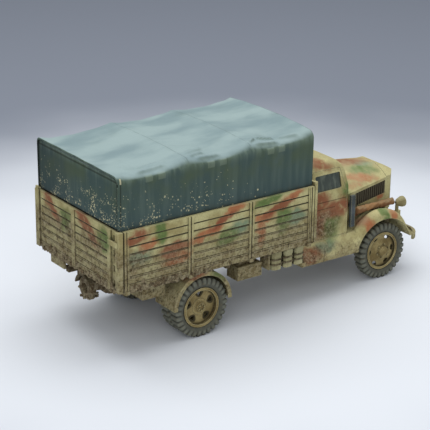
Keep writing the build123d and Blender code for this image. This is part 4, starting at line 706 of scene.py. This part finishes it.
def make_tilt():
    """Canvas over four bows.

    The section is an upright wall, a quarter-round of radius r and a top that climbs to its crown as
    c (1 - (y / w)^2). Between two bows the top sags as sin(pi s) of the way s from bow to bow. Folds are
    ridges along lines, and the walls hang in waves a sin(k x) that grow towards the foot.
    """
    low, high = node_box("canvas_tilt")
    bows = np.array(TILT_BOWS)
    bows[0], bows[-1] = low[0], high[0]
    x = np.linspace(low[0] + TILT_REAR_ROUND, high[0], TILT_LENGTHS)
    bay = np.clip(np.searchsorted(bows, x, side="right") - 1, 0, 2)
    sag = np.sin(np.pi * (x - bows[bay]) / (bows[bay + 1] - bows[bay]))
    edge_z = np.interp(x, bows, TILT_EDGE_Z)[:, None]
    crown = np.interp(x, bows, TILT_CROWN)[:, None]
    radius = np.interp(x, (bows[0], bows[0] + 2.5, bows[-1] - 2, bows[-1]), TILT_RADII)[:, None]
    corner_z = edge_z - radius
    width = high[1]

    # Half a section, from the foot of the wall to the end of the quarter-round, and the top between
    wall = np.linspace(0, 1, TILT_WALLS, endpoint=False)
    turn = np.linspace(0, np.pi / 2, TILT_TURNS, endpoint=False)
    half_y = np.hstack([np.full((TILT_LENGTHS, TILT_WALLS), width), width - radius * (1 - np.cos(turn))])
    half_z = np.hstack([TILT_FOOT_Z + (corner_z - TILT_FOOT_Z) * wall, corner_z + radius * np.sin(turn)])
    y = np.hstack([half_y, (width - radius) * np.linspace(1, -1, TILT_TOPS), -half_y[:, ::-1]])
    z = np.hstack([half_z, np.repeat(edge_z, TILT_TOPS, axis=1), half_z[:, ::-1]])
    x = np.repeat(x[:, None], y.shape[1], axis=1)
    about_x = x - RX

    # Top: crown, sag that is deepest along the right shoulder, a rise over each bow, folds, ripples
    on_top = np.clip((z - corner_z) / radius, 0, 1) ** 1.5
    z = z + on_top * crown * (1 - (y / width) ** 2)
    right_drop = np.exp(-((y + width) / 5.0) ** 2)
    z = z - on_top * sag[:, None] * (0.70 + 0.20 * (np.abs(y) / width) ** 2 + 0.20 * right_drop)
    for bow in bows[1:3]:
        z = z + on_top * 0.10 * np.exp(-((x - bow) / 0.35) ** 2)
    for fold in TILT_FOLDS:
        z = z + on_top * bump_along(about_x, y, *fold)
    z = z + on_top * 0.07 * np.sin(0.9 * about_x + 0.35 * y) * np.sin(0.4 * y + 1.0)

    # Walls: hanging waves, and patches sewn on at the right shoulder
    hang = np.clip((46.0 - z) / 12.0, 0, 1) * (1 - on_top)
    wave = np.sin(1.15 * about_x) + 0.6 * np.sin(2.3 * about_x + 1.3) + 0.5 * np.sin(0.55 * about_x + 0.4)
    y = y - np.sign(y) * hang * (0.10 + 0.09 * wave)
    for centre in TILT_PATCHES:
        along, up = np.abs(about_x - centre) < PATCH_HALF, np.abs(z - PATCH_Z) < PATCH_HALF_HEIGHT
        y = y - PATCH_THICKNESS * (along & up & (y < 0))

    # Rear: a rolled hem round the end, which low down stays inside the tailgate
    over = np.clip((z[0] - (corner_z[0] - 1.5)) / 1.5, 0, 1)
    step, rise = np.array(HEM_ROWS).T[:, :, None]
    hem = np.stack(np.broadcast_arrays(low[0] + step, y[0], z[0] + rise * over), axis=2)
    points = np.concatenate([hem, np.stack([x, y, z], axis=2)])
    rear = points[:len(HEM_ROWS) + 1]
    behind = node_box("tailgate")[1][0] + TAILGATE_CLEARANCE
    rear[:, :, 0] = np.where(rear[:, :, 2] < BOARD_TOP_Z, np.maximum(rear[:, :, 0], behind), rear[:, :, 0])

    # Both ends are closed by rungs between the walls and one face under the top
    count, columns = points.shape[:2]
    faces = grid_faces(count, columns)[:, ::-1].tolist()
    rung = np.arange(TILT_WALLS)
    rungs = np.stack([rung, rung + 1, columns - 2 - rung, columns - 1 - rung], axis=1)
    under_top = np.arange(TILT_WALLS, columns - TILT_WALLS)
    for end, flip in ((0, 1), (count - 1, -1)):
        faces += (end * columns + rungs)[:, ::flip].tolist()
        faces.append((end * columns + under_top)[::flip])
    tilt = mesh_piece("tilt_cover", points.reshape(-1, 3), faces, CANVAS, "chassis")
    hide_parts("canvas_tilt")


make_tilt()


# Tyres: ribbed rubber in place of the plain toothed rings, with the same tread and bead
TYRE_SECTION = (
    # radius, offset from the middle, lug lift outwards, lug lift sideways
    (5.46, 0.0, 0, 0), (5.46, 0.95, 0, 0), (5.62, 1.3, 0, 0), (5.85, 1.52, 0, 0), (6.1, 1.63, 0, 0),
    (6.35, 1.68, 0, 0.02), (6.6, 1.67, 0, 0.10), (6.85, 1.62, 0.03, 0.15), (7.1, 1.56, 0.08, 0.16),
    (7.3, 1.50, 0.18, 0.14), (7.45, 1.42, 0.34, 0.10), (7.55, 1.34, 0.50, 0.04), (7.6, 1.22, 0.50, 0),
    (7.6, 0.8, 0.50, 0), (7.6, 0.4, 0.50, 0), (7.6, 0.0, 0.50, 0),
)

# Lugs of a tyre, samples round each, and the steepness s, breadth b and wear of their wave
LUGS, LUG_SAMPLES = 30, 12
LUG_STEEPNESS, LUG_BREADTH, LUG_WEAR = 8.0, 0.45, 0.12


def make_tyre(node, axle_x, middle_y, body):
    """A tyre turned about its axle.

    r = section radius + lift L(a), where L is a rounded square wave 1 / (1 + exp(-s (cos 30 a + b))).
    """
    half = np.array(TYRE_SECTION)
    section = np.concatenate([half, half[-2:0:-1] * (1, -1, 1, -1)])
    samples = LUGS * LUG_SAMPLES
    angle = np.linspace(0, 2 * np.pi, samples, endpoint=False)[:, None]
    lug = 1 / (1 + np.exp(-LUG_STEEPNESS * (np.cos(LUGS * angle) + LUG_BREADTH)))
    worn = lug * (1 - LUG_WEAR * np.abs(np.sin(7 * angle + axle_x)))
    radius = section[:, 0] + worn * section[:, 2]
    y = middle_y + section[:, 1] + worn * section[:, 3]
    points = np.stack([axle_x + radius * np.cos(angle), y, AXLE_Z + radius * np.sin(angle)], axis=2)
    faces = grid_faces(samples, len(section), True, True)
    tyre = mesh_piece(node.replace("tyre", "rubber"), points.reshape(-1, 3), faces, RUBBER_SKIN, body)
    lift = np.clip(section[:, 2] + 5 * np.abs(section[:, 3]), 0, 0.7) / 0.7
    rib = lug * lift + 0.35 * (1 - lift)
    held = tyre.data.attributes.new("rib", "FLOAT", "POINT")
    held.data.foreach_set("value", rib.ravel().astype(np.float32))
    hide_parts(node)


def make_tyres():
    """All six tyres, each where its node of the frame is."""
    for axle, axle_x, places in (("front", FX, ("",)), ("rear", RX, ("_outer", "_inner"))):
        for side in ("left", "right"):
            for place in places:
                node = f"{axle}_tyre{place}_{side}"
                low, high = node_box(node)
                make_tyre(node, axle_x, (low[1] + high[1]) / 2, f"{axle}_wheel_{side}_body")


make_tyres()


# Small fittings
def copy_faces(faces, copies, stride):
    """The faces of several copies of a mesh, each copy stride points after the one before."""
    faces = np.asarray(faces)
    starts = stride * np.arange(copies)
    return (faces + starts[:, None, None]).reshape(-1, faces.shape[1]).tolist()


def prism_points(centres, radius, height, sides, axis):
    """Bevelled prisms on one axis: rings of points at radius (1, 1, 0.7) and height (0, 0.7, 1)."""
    angle = np.linspace(0, 2 * np.pi, sides, endpoint=False)[:, None]
    first, second, third = (np.array(direction) for direction in axis)
    around = radius * (np.cos(angle) * first + np.sin(angle) * second)
    rings = ((0.0, 1.0), (0.7, 1.0), (1.0, 0.7))
    prism = np.concatenate([grow * around + height * up * third for up, grow in rings])
    points = (np.asarray(centres)[:, None, :] + prism).reshape(-1, 3)
    foot = np.arange(sides)
    faces = []
    for block in (grid_faces(len(rings), sides, False, True), [(2 * sides + foot)[::-1], foot]):
        faces += copy_faces(block, len(centres), len(prism))
    return points, faces


NUT_RINGS = (
    # axle, its place, finish, radius of the ring, depth of the seat behind the wheel's face
    ("rear", RX, REAR_WHEEL, 0.78, 0.0),
    ("front", FX, FRONT_WHEEL, 2.05, 0.68),
)
NUTS = 6
NUT_RADIUS, NUT_HEIGHT = 0.24, 0.26


def make_wheel_nuts():
    """A ring of nuts about each hub, seated on its face."""
    angle = np.linspace(0, 2 * np.pi, NUTS, endpoint=False) + 0.3
    for axle, axle_x, finish, ring_radius, depth in NUT_RINGS:
        for side, sign in (("left", 1), ("right", -1)):
            low, high = node_box(f"{axle}_wheel_{side}")
            face = high[1] if sign > 0 else low[1]
            centres = np.stack([axle_x + ring_radius * np.cos(angle), np.full(NUTS, face - sign * depth),
                                AXLE_Z + ring_radius * np.sin(angle)], axis=1)
            axis = ((1, 0, 0), (0, 0, sign), (0, sign, 0))
            points, faces = prism_points(centres, NUT_RADIUS, NUT_HEIGHT, 6, axis)
            nuts = mesh_piece(f"{axle}_wheel_nuts_{side}", points, faces, finish,
                              f"{axle}_wheel_{side}_body", False)


make_wheel_nuts()

# Roll: its radius, how far its axis and its ends are inside its node's box, and its ties along it
ROLL_RADIUS, ROLL_INSET, ROLL_SHORTER = 0.98, 1.05, 0.15
ROLL_TIES = (0.22, 0.58, 0.86)


def make_roll():
    """Rolled sheet: r (1 + a sin(3 t + k s) + b sin(5 t - m s)) about its axis, drawn in at three ties."""
    low, high = node_box("rolled_sheet")
    start = np.array((low[0] + ROLL_SHORTER, low[1] + ROLL_INSET, high[2] - ROLL_INSET))
    end = np.array((high[0] - ROLL_SHORTER, high[1] - ROLL_INSET, low[2] + ROLL_INSET))
    axis = (end - start) / np.linalg.norm(end - start)
    out = np.cross(axis, (0, 0, 1))
    out /= np.linalg.norm(out)
    rise = np.cross(out, axis)
    share = np.concatenate([[0, 0, 0.004], np.linspace(0.012, 0.988, 110), [0.996, 1, 1]])[:, None]
    turn = np.linspace(0, 2 * np.pi, 30, endpoint=False)
    grow = 0.55 + 0.45 * np.clip(np.minimum(share, 1 - share) / 0.012, 0, 1) ** 0.5
    grow[[0, -1]] = 0
    ties = sum(np.exp(-((share - at) / 0.018) ** 2) for at in ROLL_TIES)
    swell = 1 + 0.07 * np.sin(3 * turn + 9 * share) + 0.05 * np.sin(5 * turn - 31 * share)
    swell = swell + 0.04 * np.sin(2 * turn + 55 * share)
    radius = ROLL_RADIUS * swell * grow * (1 - 0.22 * ties)
    points = (start + share[..., None] * (end - start)
              + radius[..., None] * (np.cos(turn)[:, None] * out + np.sin(turn)[:, None] * rise))
    faces = grid_faces(len(share), len(turn), False, True)
    roll = mesh_piece("rolled_canvas", points.reshape(-1, 3), faces, ROLL, "chassis")
    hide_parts("rolled_sheet")


make_roll()

# Straps: size of a canister and its rim, heights of the straps, and their section (out, up)
CANISTER_LENGTH, CANISTER_DEPTH, CANISTER_RIM = 3.0, 3.4, 0.15
STRAP_LEVELS = (14.1, 15.5)
STRAP_SECTION = ((-0.12, -0.2), (0.14, -0.2), (0.14, 0.2), (-0.12, 0.2))


def make_straps():
    """Bands round the canisters: |x / a|^5 + |y / b|^5 = 1, swept with a thin flat section."""
    low, high = node_box("canisters")
    turn = np.linspace(0, 2 * np.pi, 40, endpoint=False)
    wave_x = np.sign(np.cos(turn)) * np.abs(np.cos(turn)) ** (2 / 5)
    wave_y = np.sign(np.sin(turn)) * np.abs(np.sin(turn)) ** (2 / 5)
    middle_y = (low[1] + high[1]) / 2
    inset = CANISTER_LENGTH / 2 + CANISTER_RIM
    proud, rise = np.array(STRAP_SECTION).T[:, :, None]
    bands = [
        np.stack(np.broadcast_arrays(centre + (CANISTER_LENGTH / 2 + proud) * wave_x,
                                     middle_y + (CANISTER_DEPTH / 2 + proud) * wave_y,
                                     level + rise), axis=2).reshape(-1, 3)
        for centre in np.linspace(low[0] + inset, high[0] - inset, 3) for level in STRAP_LEVELS]
    faces = copy_faces(grid_faces(len(STRAP_SECTION), len(turn), True, True), len(bands), len(bands[0]))
    straps = mesh_piece("canister_straps", np.concatenate(bands), faces, CHASSIS_PAINT, "chassis", False)


make_straps()

# Dried mud: how many lumps hang on the tail, on each side (its sign in Y first) and on a millimetre of
# its length, under the floor and on the coupling, and the points round and up a lump
TAIL_LUMPS = 230
SIDE_LUMPS = ((-1, 190), (1, 120))
LUMPS_PER_MM = 190 / 26
FLOOR_LUMPS = 90
COUPLING_LUMPS = 70
LUMP_SIDES, LUMP_RINGS = 8, 4


def make_mud():
    """Dried mud: squashed balls r (1 + w) half sunk into the boards low at the rear and on the coupling."""
    rng = np.random.default_rng(7)
    rear = node_box("bed_floor")[0][0]
    tail = node_box("tailgate")[0][0] + 0.3
    side_rear, side_y = node_box("bed_side_right")[0][:2] + (0, 0.4)
    floor_z = node_box("bed_floor")[0][2]
    coupling_low, coupling_high = node_box("tow_coupling")
    places = [np.stack([np.full(TAIL_LUMPS, tail), rng.uniform(-18.0, 18.0, TAIL_LUMPS),
                        floor_z - 0.1 + 4.0 * rng.beta(0.8, 4.0, TAIL_LUMPS)], axis=1)]
    flats = [np.tile((0.45, 1.0, 0.8), (TAIL_LUMPS, 1))]
    for sign, many in SIDE_LUMPS:
        along = side_rear + 2 + many / LUMPS_PER_MM * rng.beta(1.0, 1.8, many)
        places.append(np.stack([along, np.full(many, -sign * side_y),
                                floor_z - 0.1 + 3.0 * rng.beta(0.8, 4.5, many)], axis=1))
        flats.append(np.tile((1.0, 0.45, 0.8), (many, 1)))
    places.append(np.stack([rng.uniform(rear, rear + 5.0, FLOOR_LUMPS), rng.uniform(-17.0, 17.0, FLOOR_LUMPS),
                            np.full(FLOOR_LUMPS, floor_z - 0.05)], axis=1))
    flats.append(np.tile((1.0, 1.0, 0.8), (FLOOR_LUMPS, 1)))
    turn = rng.uniform(0, 2 * np.pi, COUPLING_LUMPS)
    middle = (coupling_low + coupling_high) / 2
    reach = (coupling_high[2] - coupling_low[2]) / 2
    places.append(np.stack([rng.uniform(coupling_low[0] + 0.5, coupling_low[0] + 2.0, COUPLING_LUMPS),
                            middle[1] + reach * np.sin(turn), middle[2] + reach * np.cos(turn)], axis=1))
    flats.append(np.tile((1.0, 0.7, 0.7), (COUPLING_LUMPS, 1)))
    centres, flat = np.concatenate(places), np.concatenate(flats)
    total = len(centres)
    size = 0.22 + 0.75 * rng.beta(1.1, 3.2, total)

    # One ball between two poles, its points pushed in and out for each lump
    spin = np.linspace(0, 2 * np.pi, LUMP_SIDES, endpoint=False)
    lift = np.linspace(0, np.pi, LUMP_RINGS + 2)[1:-1]
    ball = np.stack([np.outer(np.sin(lift), np.cos(spin)), np.outer(np.sin(lift), np.sin(spin)),
                     np.outer(np.cos(lift), np.ones(LUMP_SIDES))], axis=2).reshape(-1, 3)
    ball = np.concatenate([[(0, 0, 1)], ball, [(0, 0, -1)]])
    rough = 1 + 0.28 * rng.standard_normal((total, len(ball), 1)).clip(-1.5, 1.5)
    points = centres[:, None] + ball * rough * flat[:, None] * size[:, None, None]
    first = np.arange(LUMP_SIDES)
    after = (first + 1) % LUMP_SIDES
    last = 1 + (LUMP_RINGS - 1) * LUMP_SIDES
    top_cap = np.stack([0 * first, 1 + first, 1 + after], axis=1)
    bottom_cap = np.stack([0 * first + len(ball) - 1, last + after, last + first], axis=1)
    faces = []
    for block in (top_cap, grid_faces(LUMP_RINGS, LUMP_SIDES, False, True) + 1, bottom_cap):
        faces += copy_faces(block, total, len(ball))
    mud = mesh_piece("mud_lumps", points.reshape(-1, 3), faces, LUMP, "chassis", False)


make_mud()


# Stage, lights and camera
def make_floor():
    """A floor that is pale round the wheels and turns grey further out, as the photograph's backdrop does."""
    mesh = bpy.data.meshes.new("floor")
    mesh.from_pydata([(-FLOOR_HALF, -FLOOR_HALF, 0), (FLOOR_HALF, -FLOOR_HALF, 0),
                      (FLOOR_HALF, FLOOR_HALF, 0), (-FLOOR_HALF, FLOOR_HALF, 0)], [], [(0, 1, 2, 3)])
    floor = bpy.data.objects.new("floor", mesh)
    bpy.context.scene.collection.objects.link(floor)
    material, n, shader = new_material("floor_paint")
    flat = n.vector("MULTIPLY", {0: n.add("ShaderNodeNewGeometry").outputs["Position"], 1: (1, 1, 0)})
    out = n.vector("LENGTH", {0: flat}, "Value")
    cloud = n.times(n.math("SUBTRACT", n.noise(flat, 9.0), 0.5), 0.06)
    grey = n.ramp(n.math("ADD", out, cloud), FLOOR_PALE_OUT, FLOOR_GREY_OUT)
    n.put(shader.inputs["Base Color"], n.mix(grey, FLOOR_PALE, FLOOR_GREY))
    shader.inputs["Roughness"].default_value = 0.95
    mesh.materials.append(material)


def make_world():
    """Even pale light all round, with a plain grey backdrop for the camera, metal and glass."""
    world = bpy.data.worlds.new("studio")
    bpy.context.scene.world = world
    world.use_nodes = True
    world.node_tree.nodes.clear()
    n = Nodes(world.node_tree)
    path = n.add("ShaderNodeLightPath").outputs
    mirrored = n.math("MAXIMUM", path["Is Glossy Ray"], path["Is Transmission Ray"])
    seen = n.math("MAXIMUM", path["Is Camera Ray"], mirrored)
    fill = n.add("ShaderNodeBackground", {"Color": FILL_COLOUR, "Strength": FILL_STRENGTH})
    backdrop = n.add("ShaderNodeBackground", {"Color": BACKDROP, "Strength": 1.0})
    mixed = n.add("ShaderNodeMixShader", {0: seen, 1: fill.outputs[0], 2: backdrop.outputs[0]})
    n.put(n.add("ShaderNodeOutputWorld").inputs["Surface"], mixed.outputs[0])


def make_lamp(name, place, width, power):
    """A square soft lamp aimed at the truck."""
    data = bpy.data.lights.new(name, "AREA")
    data.size = width
    data.energy = power
    lamp = bpy.data.objects.new(name, data)
    lamp.location = place
    lamp.rotation_mode = "QUATERNION"
    lamp.rotation_quaternion = (Vector(LAMP_AIM) - Vector(place)).to_track_quat("-Z", "Y")
    bpy.context.scene.collection.objects.link(lamp)


def make_camera():
    """The photograph's viewpoint, scaled down to the model and moved to its rear axle."""
    azimuth, elevation, roll = (math.radians(angle) for angle in CAMERA_ANGLES)
    back = np.array((math.sin(azimuth) * math.cos(elevation), -math.cos(azimuth) * math.cos(elevation),
                     math.sin(elevation)))
    right = np.cross(-back, (0, 0, 1))
    right /= np.linalg.norm(right)
    up = np.cross(right, -back)
    tilted_right = right * math.cos(roll) + up * math.sin(roll)
    tilted_up = up * math.cos(roll) - right * math.sin(roll)
    place = (np.array(CAMERA_TARGET) + back * CAMERA_DISTANCE) / MODEL_SCALE + np.array((RX * MM, 0, 0))
    data = bpy.data.cameras.new("camera")
    data.sensor_width = SENSOR_WIDTH
    data.lens = FOCAL_PIXELS / IMAGE_SIDE * SENSOR_WIDTH
    data.clip_start, data.clip_end = 0.01, 50
    camera = bpy.data.objects.new("camera", data)
    turn = Matrix((tilted_right, tilted_up, back)).transposed()
    camera.matrix_world = Matrix.Translation(place) @ turn.to_4x4()
    bpy.context.scene.collection.objects.link(camera)
    bpy.context.scene.camera = camera


make_floor()
make_world()
for lamp_name, lamp_place, lamp_width, lamp_power in LAMPS:
    make_lamp(lamp_name, lamp_place, lamp_width, lamp_power)
make_camera()
bpy.context.scene.view_settings.view_transform = "Standard"
